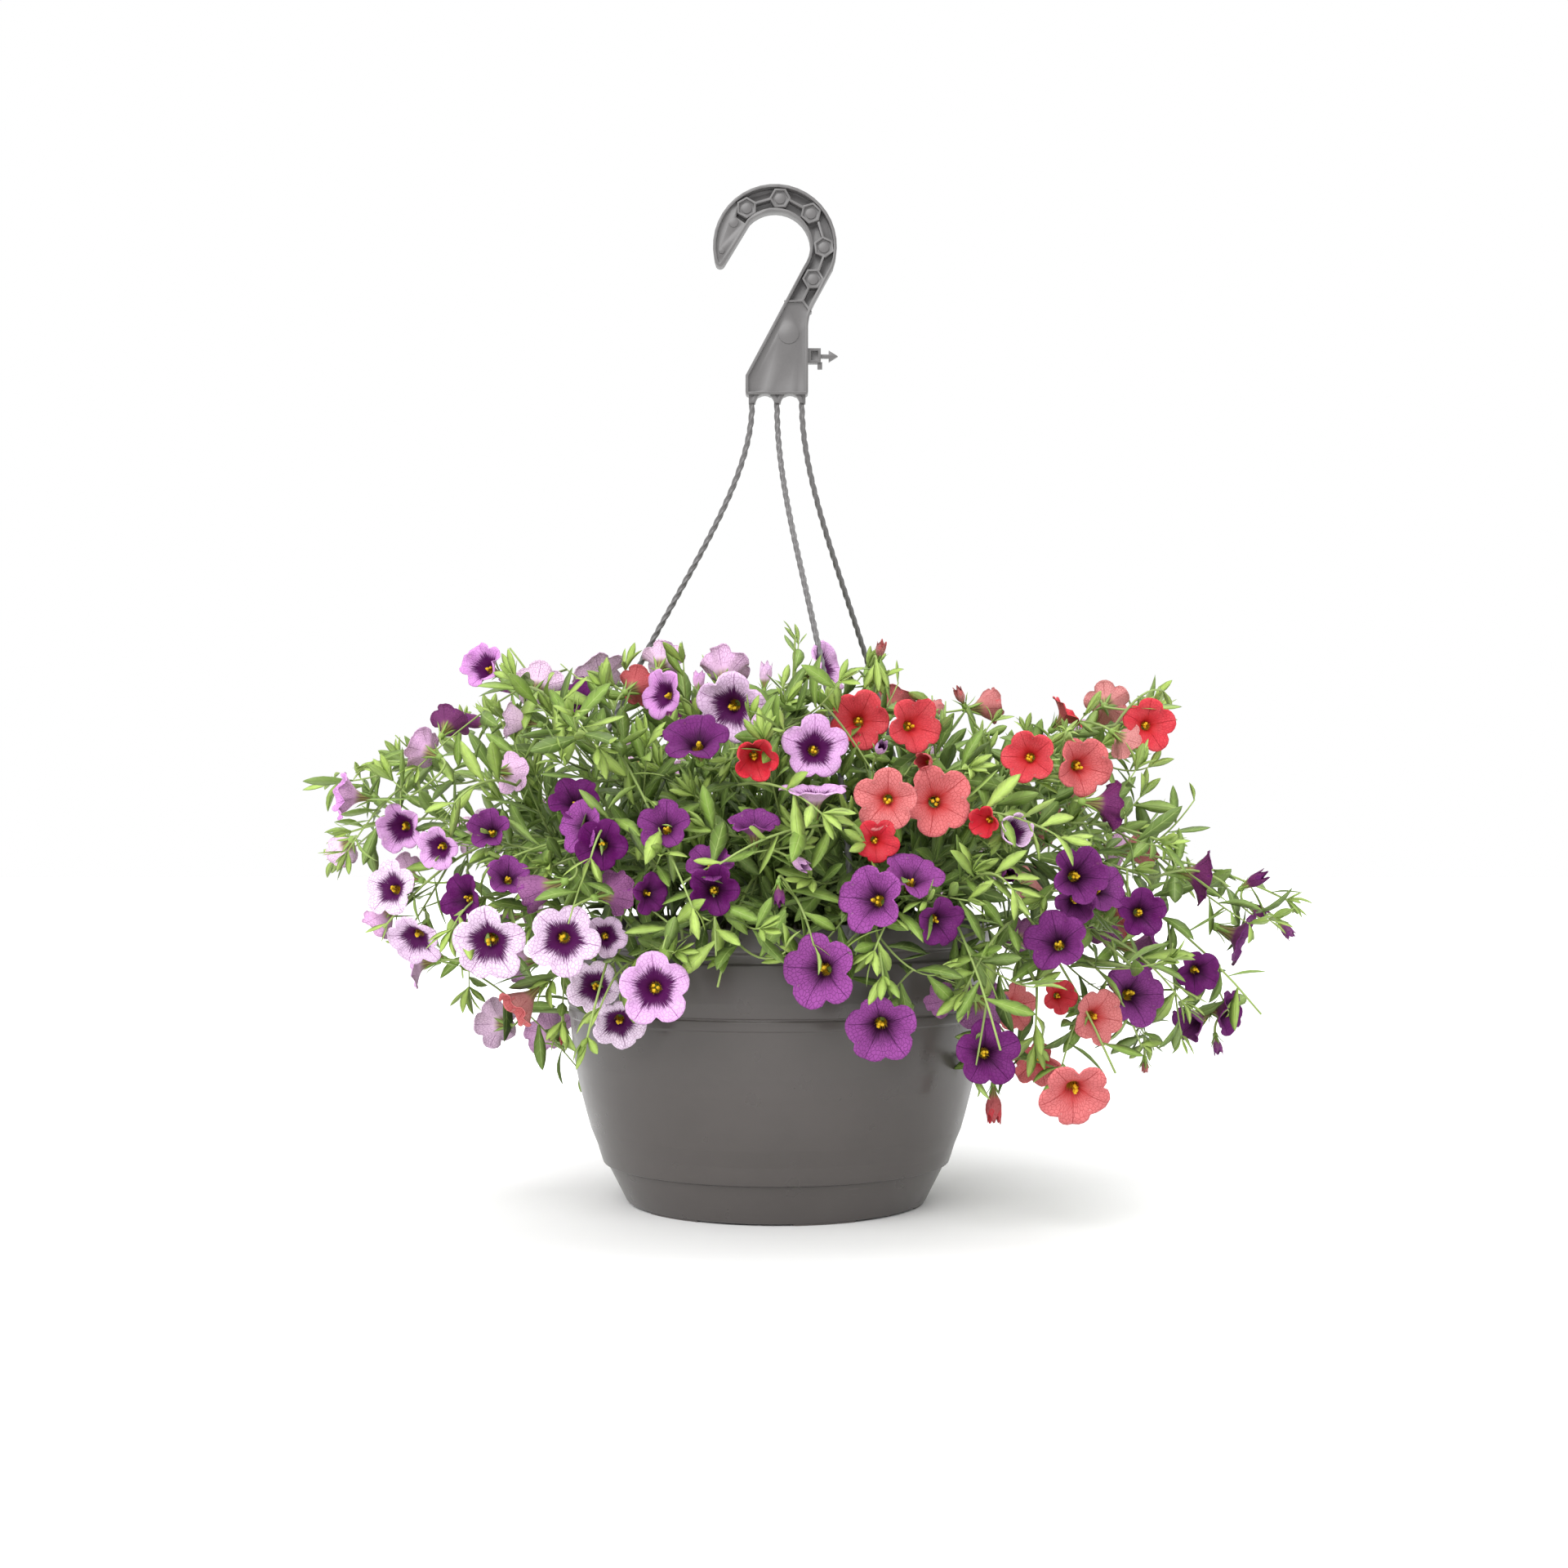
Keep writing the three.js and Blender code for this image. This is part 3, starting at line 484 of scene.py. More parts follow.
def petal_finish(variety, deep, pale, eye, eye_reach, eye_soft, eye_power, back, vein):
    """A petal skin: deep to pale by tone, a fringed eye, a yellow throat, dark veins and a dull back."""
    f = Finish(f"calibrachoa_petal_{variety}", Specular_IOR_Level=0.12)
    tone = f.attribute("tint")
    plan = f.make("ShaderNodeSeparateXYZ", None, {"Vector": f.attribute("plan", "Vector")})
    x, y, front = plan, plan.out("Y"), plan.out("Z")
    reach = (x * x + y * y).math("SQRT")
    angle = y.math("ARCTAN2", x)
    lobe = (angle * 2.5).math("SINE").math("ABSOLUTE")  # 0 on a lobe's midrib, 1 between lobes
    colour = f.mix(tone, deep, pale)
    shade = f.noise(f.place(), 130.0, 3.0)
    colour = f.mix(f.step(shade, 0.35, 0.75) * 0.35, colour, f.mix(tone * 0.5 + 0.5, deep, pale))
    # Veins: the midrib of each lobe, and a fine branching net that runs outwards.
    rib = (1 - f.step(lobe * reach, 0.008, 0.035)) * f.step(reach, 0.25, 0.45) * (1 - f.step(reach, 0.9, 1.0))
    net_place = f.combine(angle * 3.2, reach * 3.4 + f.noise(f.place(), 80.0, 2.0) * 0.5)
    net = f.make("ShaderNodeTexVoronoi", {"feature": "DISTANCE_TO_EDGE", "voronoi_dimensions": "2D"}, {
        "Vector": net_place, "Scale": 2.4})
    net = (1 - f.step(net, 0.015, 0.09)) * f.step(reach, 0.2, 0.5)
    colour = f.mix(net * (0.24 + tone * 0.30), colour, vein)
    colour = f.mix(rib * 0.62, colour, vein)
    # Eye: its edge is frayed along the petals and reaches further out on each midrib.
    fray = f.noise(f.combine(angle * 9.0, reach * 1.2), 2.2, 4.0, 0.75)
    edge = reach - (fray - 0.5) * 0.8 + lobe * 0.09
    eyed = 1 - f.step(edge, eye_reach - eye_soft, eye_reach + eye_soft)
    colour = f.mix(eyed * eye_power, colour, eye)
    throat_edge = reach + (f.noise(f.combine(angle * 7.0, reach), 2.0, 2.0) - 0.5) * 0.2
    throat = 1 - f.step(throat_edge, 0.115, 0.165)
    streaks = f.step((angle * 15.0).math("SINE"), 0.35, 0.9) * f.step(reach, 0.05, 0.12)
    gold = f.mix(streaks * 0.6, (0.66, 0.42, 0.02), (0.16, 0.05, 0.02))
    colour = f.mix(throat, colour, gold)
    # Back: duller, with veins, turning to a streaked yellowish tube at the bottom.
    behind = f.mix(net * 0.5 + rib * 0.45, f.mix(tone, *back), vein)
    tube_streak = f.step((angle * 10.0).math("SINE"), -0.2, 0.8)
    tube = f.mix(tube_streak * 0.7, (0.26, 0.23, 0.08), (0.12, 0.04, 0.045))
    behind = f.mix(1 - f.step(reach, 0.14, 0.36), behind, tube)
    f.feed("Base Color", f.mix(front, behind, colour))
    f.feed("Roughness", f.noise(f.place(), 500.0, 2.0) * 0.2 + 0.5)
    f.bump(net * -0.6 + rib * -1.0 + f.noise(f.place(), 700.0, 2.0) * 0.3, 0.00022)
    return f.material


# ---------- pot, saucer and mix ----------

RIM_R = 135
POT_TOP = 176
POT_FOOT = 25.6
WALL = 2.2
POT_OUTER = [
    (109.2, POT_FOOT), (111.3, 32), (112.8, 37), (116.9, 47), (119.9, 57.6), (122.6, 68), (125, 78),
    (127.1, 89), (128.6, 101), (130.0, 115.4), (130.1, 117.0), (130.9, 117.6), (131.0, 122.8),
    (130.4, 123.4), (130.4, 124.2), (131.4, 124.8), (132.6, 133), (133.0, 144), (133.2, 155),
    (131.8, 156.2), (131.6, 161), (134.2, 162.3), (RIM_R, 163.2), (RIM_R, 174.8), (134.4, POT_TOP),
]
POT_INNER = [
    (133.2, POT_TOP), (RIM_R - WALL, 175), (RIM_R - WALL, 163), (128.6, 160.5), (127.8, 118),
    (122.8, 78), (117.7, 57.6), (106.6, 28.2),
]
SAUCER_FOOT_R = 94.8
SAUCER_TOP_R = 106.4
LUG_TURN = 18
MIX_R = 125.5


def make_pot(material):
    outline = softened([(0, POT_FOOT), *POT_OUTER, *POT_INNER, (0, 28.2)], 0.7)
    return new_object("pot_body", turned("pot_body", outline, 180, material))


def make_saucer(material):
    outline = softened([
        (0, 1), (SAUCER_FOOT_R - 1, 1), (SAUCER_FOOT_R, 1.8), (SAUCER_TOP_R, 24.6), (SAUCER_TOP_R, 25.3),
        (SAUCER_TOP_R - WALL, 25.3), (SAUCER_FOOT_R - WALL, 3.4), (0, 3.4)], 0.5)
    dish = turned("saucer_dish", outline, 180, material)
    shape = bmesh.new()
    shape.from_mesh(dish)
    for k in range(6):
        middle = math.radians(-90 + LUG_TURN + 60 * k)
        arc = [middle + math.radians(12) * (i / 5 - 1) for i in range(11)]
        rim = [(SAUCER_FOOT_R - 1.2, a) for a in arc] + [(SAUCER_FOOT_R - 9, a) for a in reversed(arc)]
        low = [shape.verts.new(at(r * math.cos(a), r * math.sin(a), 0)) for r, a in rim]
        high = [shape.verts.new(at(r * math.cos(a), r * math.sin(a), 1.3)) for r, a in rim]
        shape.faces.new(list(reversed(low)))
        shape.faces.new(high)
        for i in range(len(rim)):
            j = (i + 1) % len(rim)
            shape.faces.new((low[i], low[j], high[j], high[i]))
    shape.to_mesh(dish)
    shape.free()
    return new_object("saucer_dish", dish)


def make_mix(material):
    rings = []
    segments = 120
    for k in range(1, 43):
        radius = MIX_R * k / 42
        fall = 4.0 * ease(radius, 100, MIX_R)
        ring = []
        for i in range(segments):
            a = 2 * math.pi * i / segments
            x, y = radius * math.cos(a), radius * math.sin(a)
            lump = noise.noise(Vector((x, y, 0)) * 0.09) * 2.2 + noise.noise(Vector((x, y, 5)) * 0.35) * 1.2
            ring.append(at(x, y, MIX_TOP - 1.4 - fall + lump))
        rings.append(ring)
    under = [at(106 * math.cos(2 * math.pi * i / segments), 106 * math.sin(2 * math.pi * i / segments), 28.6)
             for i in range(segments)]
    vertices, faces = skin([*rings, under], at(0, 0, MIX_TOP - 1.4), at(0, 0, 28.6))
    return new_object("mix_fill", mesh_from("mix_fill", vertices, faces, material))


def make_crumbs(material, surface):
    """Loose crumbs of bark and peat scattered over the top of the mix."""
    bpy.ops.mesh.primitive_ico_sphere_add(subdivisions=1, radius=1.0)
    lump = bpy.context.object
    for vertex in lump.data.vertices:
        vertex.co *= 1 + 0.35 * noise.noise(vertex.co * 3.0)
    sizes = {"Crumb size": 0.0016, "Crumbs per square metre": 9000.0}
    tree, start = geometry_tree("scattered_crumbs", sizes)
    up = tree.make("ShaderNodeSeparateXYZ", None, {0: tree.make("GeometryNodeInputNormal")}).out("Z")
    points = tree.make("GeometryNodeDistributePointsOnFaces", {"distribute_method": "RANDOM"}, {
        "Mesh": start, "Density": start.out("Crumbs per square metre"), "Seed": 4,
        "Selection": tree.make("FunctionNodeCompare", {"data_type": "FLOAT", "operation": "GREATER_THAN"}, {
            0: up, 1: 0.6})})
    spread = tree.make("FunctionNodeRandomValue", {"data_type": "FLOAT"}, {2: 0.5, 3: 1.6, "Seed": 9})
    spin = tree.make("FunctionNodeRandomValue", {"data_type": "FLOAT_VECTOR"}, {
        1: (FULL_TURN, FULL_TURN, FULL_TURN), "Seed": 2})
    info = tree.make("GeometryNodeObjectInfo", None, {"Object": lump}).out("Geometry")
    size = tree.make("ShaderNodeMath", {"operation": "MULTIPLY"}, {0: spread, 1: start.out("Crumb size")})
    copies = tree.make("GeometryNodeInstanceOnPoints", None, {
        "Points": points, "Instance": info, "Scale": size,
        "Rotation": tree.make("FunctionNodeEulerToRotation", None, {0: spin})})
    carrier = new_object("crumb_ground", surface.data.copy())
    piece = run_tree(carrier, tree, copies, material, sizes, "mix_crumbs")
    bpy.data.objects.remove(lump)
    return piece


# ---------- hanger ----------

LEG_FOOT = 504
STRAND_ROOTS = {"strand_left": -15.3, "strand_front": 0.5, "strand_right": 16.3}
STRAND_TURNS = {"strand_left": -99, "strand_front": 18, "strand_right": 137}
STRAND_END_R = RIM_R + 2.4
STRAND_END_Z = 172


def make_hook(material):
    """The hook's own solid with its edges eased."""
    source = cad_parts["hanger_hook"].data.copy()
    shape = bmesh.new()
    shape.from_mesh(source)
    bmesh.ops.remove_doubles(shape, verts=shape.verts, dist=1e-6)
    bmesh.ops.dissolve_limit(shape, angle_limit=math.radians(1.0), verts=shape.verts, edges=shape.edges)
    shape.to_mesh(source)
    shape.free()
    source.materials.clear()
    source.materials.append(material)
    carrier = new_object("hook_blank", source)
    bevel = carrier.modifiers.new("eased_edges", "BEVEL")
    bevel.width = 0.35 * MM
    bevel.segments = 2
    bevel.limit_method = "ANGLE"
    bevel.angle_limit = math.radians(35)
    graph = bpy.context.evaluated_depsgraph_get()
    mesh = bpy.data.meshes.new_from_object(carrier.evaluated_get(graph))
    bpy.data.objects.remove(carrier)
    mesh.shade_smooth()
    mesh.set_sharp_from_angle(angle=math.radians(50))
    return new_object("hook_plate", mesh)


def strand_tree():
    """Sweeps a ridged round section along a route, turning as it goes, so that it looks laid like rope."""
    tree, start = geometry_tree("twisted_strand", ("Thickness", "Ridge depth", "Pitch", "Step"))
    route = tree.make("GeometryNodeResampleCurve", {"mode": "LENGTH"}, {
        "Curve": start, "Length": start.out("Step")})
    gone = tree.make("GeometryNodeSplineParameter").out("Length")
    turn = gone * (2 * math.pi) / start.out("Pitch")
    laid = tree.make("GeometryNodeSetCurveTilt", None, {"Curve": route, "Tilt": turn})
    circle = tree.make("GeometryNodeCurvePrimitiveCircle", {"mode": "RADIUS"}, {
        "Resolution": 18, "Radius": 1.0})
    spot = tree.make("GeometryNodeInputPosition")
    parts = tree.make("ShaderNodeSeparateXYZ", None, {0: spot})
    angle = parts.out("Y").math("ARCTAN2", parts)
    swell = (angle * 3.0).math("COSINE") * start.out("Ridge depth") + (start.out("Thickness") * 0.5)
    ridged = tree.make("GeometryNodeSetPosition", None, {
        "Geometry": circle,
        "Position": tree.make("ShaderNodeVectorMath", {"operation": "SCALE"}, {0: spot, "Scale": swell})})
    return tree, tree.make("GeometryNodeCurveToMesh", None, {
        "Curve": laid, "Profile Curve": ridged, "Fill Caps": True})


def make_strand(name, material):
    turn = math.radians(STRAND_TURNS[name])
    out = Vector((math.sin(turn), -math.cos(turn), 0))
    root = at(STRAND_ROOTS[name], 0, LEG_FOOT - 0.1)
    end = at(0, 0, STRAND_END_Z) + out * STRAND_END_R * MM
    route = bpy.data.curves.new("strand_route", "CURVE")
    route.dimensions = "3D"
    spline = route.splines.new("BEZIER")
    spline.bezier_points.add(1)
    first, last = spline.bezier_points
    first.co, first.handle_left = root, root + Vector((0, 0, 30 * MM))
    first.handle_right = root - Vector((0, 0, 85 * MM))
    last.co, last.handle_left = end, end + Vector((0, 0, 148 * MM))
    last.handle_right = end - Vector((0, 0, 30 * MM))
    spline.resolution_u = 60
    sizes = {"Thickness": 3.3 * MM, "Ridge depth": 0.28 * MM, "Pitch": 21 * MM, "Step": 1.3 * MM}
    tree, swept_mesh = strand_tree()
    carrier = new_object("strand_carrier", route)
    piece = run_tree(carrier, tree, swept_mesh, material, sizes, name.replace("strand", "laid"))
    piece.data.shade_smooth()
    add_clip(piece.data, math.atan2(out.y, out.x))
    return piece


def add_clip(mesh, angle):
    """Adds the clip that hooks over the rim, drawn across the wall and turned to its place."""
    inner, outer, wall, half = RIM_R - WALL - 0.9, RIM_R + 0.3, 1.8, 5.5
    inner_foot, outer_foot, seat = 168, 163, 176.4
    outline = [
        (inner - wall, inner_foot), (inner, inner_foot), (inner, seat), (outer, seat), (outer, outer_foot),
        (outer + wall, outer_foot), (outer + wall, seat + wall), (inner - wall, seat + wall)]
    turn = Matrix.Rotation(angle, 4, "Z")
    clip = bmesh.new()
    near = [clip.verts.new(turn @ at(x, -half, z)) for x, z in outline]
    far = [clip.verts.new(turn @ at(x, half, z)) for x, z in outline]
    clip.faces.new(near)
    clip.faces.new(list(reversed(far)))
    for i in range(len(outline)):
        j = (i + 1) % len(outline)
        clip.faces.new((near[j], near[i], far[i], far[j]))
    bmesh.ops.recalc_face_normals(clip, faces=clip.faces)
    bmesh.ops.bevel(clip, geom=clip.edges[:], offset=0.35 * MM, segments=2, affect="EDGES", profile=0.6)
    for face in clip.faces:
        face.smooth = False
    clip.from_mesh(mesh)
    clip.to_mesh(mesh)
    clip.free()


# ---------- copies set out on points ----------

def set_out(name, shapes, spots, material):
    """Sets copies of the shapes on spots, each (place, 3x3 turn, size, kind, tint), as one mesh."""
    mesh = bpy.data.meshes.new(name + "_spots")
    mesh.from_pydata([tuple(spot[0]) for spot in spots], [], [])
    add_attribute(mesh, "turn", [tuple(spot[1].to_euler()) for spot in spots], "FLOAT_VECTOR")
    add_attribute(mesh, "size", [spot[2] for spot in spots])
    add_attribute(mesh, "kind", [spot[3] for spot in spots], "INT")
    add_attribute(mesh, "tint", [spot[4] for spot in spots])
    carrier = new_object(name + "_carrier", mesh)
    sizes = {"Growth": 1.0}
    tree, start = geometry_tree(name + "_set_out", sizes)

    def named(attribute, kind):
        return tree.make("GeometryNodeInputNamedAttribute", {"data_type": kind}, {"Name": attribute})

    turn = tree.make("FunctionNodeEulerToRotation", None, {0: named("turn", "FLOAT_VECTOR")})
    size = named("size", "FLOAT") * start.out("Growth")
    join = tree.make("GeometryNodeJoinGeometry")
    for number, shape in enumerate(shapes):
        chosen = tree.make("FunctionNodeCompare", {"data_type": "INT", "operation": "EQUAL"}, {
            2: named("kind", "INT"), 3: number})
        info = tree.make("GeometryNodeObjectInfo", None, {"Object": shape}).out("Geometry")
        copies = tree.make("GeometryNodeInstanceOnPoints", None, {
            "Points": start, "Selection": chosen, "Instance": info, "Rotation": turn, "Scale": size})
        tree.plug(join.socket.node.inputs[0], copies)
    return run_tree(carrier, tree, join, material, sizes, name)


def basis(forward, up):
    """A 3x3 turn whose X goes forward and whose Z is as near up as it can be."""
    x = forward.normalized()
    y = up.cross(x)
    if y.length < 1e-4:
        y = x.orthogonal()
    y.normalize()
    return Matrix((x, y, x.cross(y))).transposed()


# ---------- leaves and stems ----------

LEAF_GAP = 8.2  # along the stem, in millimetres
LEAF_TURN = 2.4  # round the stem from one leaf to the next, in radians
TUFT_LEAVES = 7


def leaf_shape(name, droop, fold, curl):
    """A spoon-shaped leaf one unit long on +X: a thin closed skin, creased down its midrib."""
    stations = [(0.03, 0.20), (0.20, 0.44), (0.40, 0.86), (0.60, 1.0), (0.79, 0.76), (0.93, 0.34)]
    half, thick = 0.142, 0.009
    rings, plan = [], []
    for along, width in stations:
        drop = -droop * along * along
        lift = fold * half * width
        twist = curl * (along - 0.3)
        ring = []
        for across, top in ((-1, 0), (0, 1), (1, 0), (0, -1)):
            y = across * half * width
            z = drop + abs(across) * lift + top * thick * (0.6 if width < 0.4 else 1)
            z += across * twist * half * width
            ring.append(Vector((along - 0.25 * droop * along, y, z)))
            plan.append((along, across, 0.5 + 0.5 * top if across == 0 else 0.5))
        rings.append(ring)
    start, end = Vector((0, 0, 0)), Vector((1 - 0.25 * droop, 0, -droop))
    vertices, faces = skin(rings, start, end)
    mesh = mesh_from(name, vertices, faces)
    add_attribute(mesh, "plan", [(0, 0, 0.5), *plan, (1, 0, 0.5)], "FLOAT_VECTOR")
    return new_object(name, mesh)


class Stem:
    """A stem's plant and points, how thick its foot is, where its leaves start and how fresh they are."""

    def __init__(self, plant, points, thick, first_leaf, fresh=0.0):
        self.plant = plant
        self.points = points
        self.thick = thick
        self.first_leaf = first_leaf
        self.fresh = fresh
        self.length = sum((b - a).length for a, b in zip(points, points[1:]))

    def at(self, share):
        place = share * (len(self.points) - 1)
        i = min(len(self.points) - 2, int(place))
        return self.points[i].lerp(self.points[i + 1], place - i)

    def forward(self, share):
        return (self.at(min(1, share + 0.04)) - self.at(max(0, share - 0.04))).normalized()


def turn_from(crown, tip):
    return math.atan2(tip[1] - crown[1], tip[0] - crown[0])


def root_of(plant, tip):
    """Shoots leave their crown evenly round it, in the order of the ways that they go."""
    crown = CROWNS[plant]
    turns = sorted(turn_from(crown, other[1]) for other in SHOOTS if other[0] == plant)
    step = 2 * math.pi / len(turns)
    first = sum(turn - i * step for i, turn in enumerate(turns)) / len(turns)
    turn = first + turns.index(turn_from(crown, tip)) * step
    return at(crown[0] + CROWN_R * math.cos(turn), crown[1] + CROWN_R * math.sin(turn), MIX_TOP - 1)


def carrying_stems():
    stems = []
    for plant, tip, bow in SHOOTS:
        root, end = root_of(plant, tip), at(*tip)
        pull = root.lerp(end, 0.5) + Vector((0, 0, 2 * bow * MM))
        stems.append(Stem(plant, curve_points(root, pull, end, 16), STEM_R * MM, 0.1))
    return stems


def side_stem(parent, share, reach, lift):
    """A side shoot that leaves its parent, spreads and turns up towards the light."""
    start = parent.at(share)
    forward = parent.forward(share)
    around = Matrix.Rotation(dice.uniform(0, 2 * math.pi), 3, forward)
    side = around @ forward.orthogonal().normalized()
    heading = (forward * 0.75 + side * 0.8 + Vector((0, 0, 0.12))).normalized()
    end = start + heading * reach + Vector((0, 0, lift * reach))
    pull = start + heading * reach * 0.55 - Vector((0, 0, 0.1 * reach))
    return Stem(parent.plant, curve_points(start, pull, end, 8), 0.75 * MM, 0.12)


def filling_stems():
    """Short upright shoots that fill the middle of each plant."""
    stems = []
    for plant, (cx, cy) in CROWNS.items():
        for k in range(15):
            a = k * LEAF_TURN + dice.uniform(-0.3, 0.3)
            near, far = dice.uniform(12, 40), dice.uniform(45, 125)
            root = at(cx + near * math.cos(a), cy + near * math.sin(a), MIX_TOP - 1)
            end = at(cx + far * math.cos(a), cy + far * math.sin(a), dice.uniform(205, 292) - far * 0.15)
            pull = root.lerp(end, 0.4) + Vector((0, 0, 0.03))
            stems.append(Stem(plant, curve_points(root, pull, end, 8), 0.9 * MM, 0.15))
    return stems


def front_depth(x, z):
    """How far forward the plant's front surface stands where it shows at x, z."""
    share = spread_at(z)
    return -FRONT_REACH * share * math.sqrt(max(0.03, 1 - (x / (SIDE_REACH * share)) ** 2))


def shown_at(x, z, behind):
    """The place that shows at x, z from the front, that far behind the plant's front surface."""
    y = front_depth(x, z) + behind
    k = (EYE_AWAY + y) / EYE_AWAY
    return at(x * k, y, EYE_HEIGHT + (z - EYE_HEIGHT) * k)


def fresh_stems(bearers):
    """Young shoots that run forward over the others."""
    stems = []
    for x0, z0, x1, z1 in FRESH_SHOOTS:
        start, end = shown_at(x0, z0, 30), shown_at(x1, z1, -6)
        bearer = min(bearers, key=lambda stem: (stem.at(0.7) - start).length)
        pull = start.lerp(end, 0.5) + Vector((0, -0.012, 0.014))
        points = [bearer.at(0.7), *curve_points(start, pull, end, 8)]
        stems.append(Stem(bearer.plant, points, 1.0 * MM, 0.2, 0.42))
    return stems


def grow_stems():
    mains = carrying_stems()
    fillers = filling_stems()
    sides = []
    for stem in mains:
        for k in range(6):
            share = 0.25 + 0.68 * (k + dice.random()) / 6
            reach = dice.uniform(38, 78) * MM
            for _ in range(6):
                grown = side_stem(stem, share, reach, dice.uniform(-0.1, 0.3))
                if inside_outline(grown.points[-1]):
                    sides.append(grown)
                    break
    for stem in fillers:
        for k in range(2):
            share, reach, lift = dice.uniform(0.3, 0.8), dice.uniform(28, 50) * MM, dice.uniform(0.1, 0.4)
            sides.append(side_stem(stem, share, reach, lift))
    return mains + fillers + sides + fresh_stems(mains + sides)


def hides(point, faces):
    """Whether something at the point would cover an open flower's face."""
    gap = np.array(tuple(point)) - faces[:, 0:3]
    ahead = (gap * faces[:, 3:6]).sum(axis=1)
    aside = np.linalg.norm(gap - ahead[:, None] * faces[:, 3:6], axis=1)
    return bool(((ahead > -0.004) & (ahead < 0.05) & (aside < faces[:, 6])).any())


def leaf_spots(stem, faces):
    """Leaves spiral up the stem, with a tuft of small young ones at its tip."""
    spots = []
    count = max(4, int(stem.length * (1 - stem.first_leaf) / (LEAF_GAP * MM)))
    spin = dice.uniform(0, FULL_TURN)
    for i in range(count + TUFT_LEAVES):
        in_tuft = i >= count
        share = 0.985
        if not in_tuft:
            share = stem.first_leaf + (0.97 - stem.first_leaf) * (i + dice.random() * 0.6) / count
        place, forward = stem.at(share), stem.forward(share)
        spin += LEAF_TURN
        side = Matrix.Rotation(spin, 3, forward) @ forward.orthogonal().normalized()
        if in_tuft:
            spread = dice.uniform(0.25, 0.95)
            length = dice.uniform(12, 21) * MM
        else:
            spread = dice.uniform(0.9, 1.9)
            length = dice.uniform(25, 39) * MM * (1 - 0.2 * share)
        heading = (forward + side * spread + Vector((0, 0, 0.18))).normalized()
        if not inside_outline(place + heading * length) or hides(place + heading * length * 0.6, faces):
            continue
        radial = Vector((place.x, place.y, 0)).normalized()
        up = Vector((0, 0, 0.6)) + radial * 0.55 + Vector([dice.uniform(-0.6, 0.6) for _ in range(3)])
        # Leaf tint: younger and paler towards a shoot's tip, in the tuft and on fresh shoots, and painted lighter
        # further from the axis and higher up, where more light falls.
        outer_light_share = min(1.0, math.hypot(place.x, place.y) / 0.2)
        height = ease(place.z - BASE_Z, 0.15, 0.33)
        age = 0.22 * outer_light_share + 0.15 * height + 0.42 * share ** 2 + (0.24 if in_tuft else 0) + stem.fresh
        age += dice.uniform(-0.18, 0.16)
        spots.append((place, basis(heading, up), length, dice.randrange(3), min(1.0, max(0.0, age))))
    return spots


def stem_mesh(name, stems, stalks, material):
    """All of one plant's stems, and the flower stalks, as closed tapering tubes."""
    vertices, faces, tints = [], [], []
    tubes = [(stem.points, stem.thick, 0.55 * stem.thick, 0.25, 0.95) for stem in stems]
    tubes += [(points, 0.65 * MM, 0.85 * MM, 0.7, 0.9) for points in stalks]
    for points, foot, tip, tint_foot, tint_tip in tubes:
        last = len(points) - 1
        radii = [foot + (tip - foot) * i / last for i in range(last + 1)]
        tube_vertices, tube_faces = swept(points, radii, 6)
        offset = len(vertices)
        vertices += tube_vertices
        faces += [tuple(offset + i for i in face) for face in tube_faces]
        shares = [0, *(i / last for i in range(last + 1) for _ in range(6)), 1]
        tints += [tint_foot + (tint_tip - tint_foot) * share for share in shares]
    mesh = mesh_from(name, vertices, faces, material)
    add_attribute(mesh, "tint", tints)
    return new_object(name, mesh)


# ---------- flowers ----------

TUBE_SHARE = 0.5
OPEN_PROFILE = [  # radius and depth, as shares of the flower's width, from the tube's foot to the rim
    (0.045, -0.495), (0.05, -0.40), (0.062, -0.31), (0.083, -0.235), (0.120, -0.170),
    (0.175, -0.120), (0.245, -0.076), (0.325, -0.040), (0.405, -0.016), (0.460, -0.008),
    (0.500, -0.020),
]


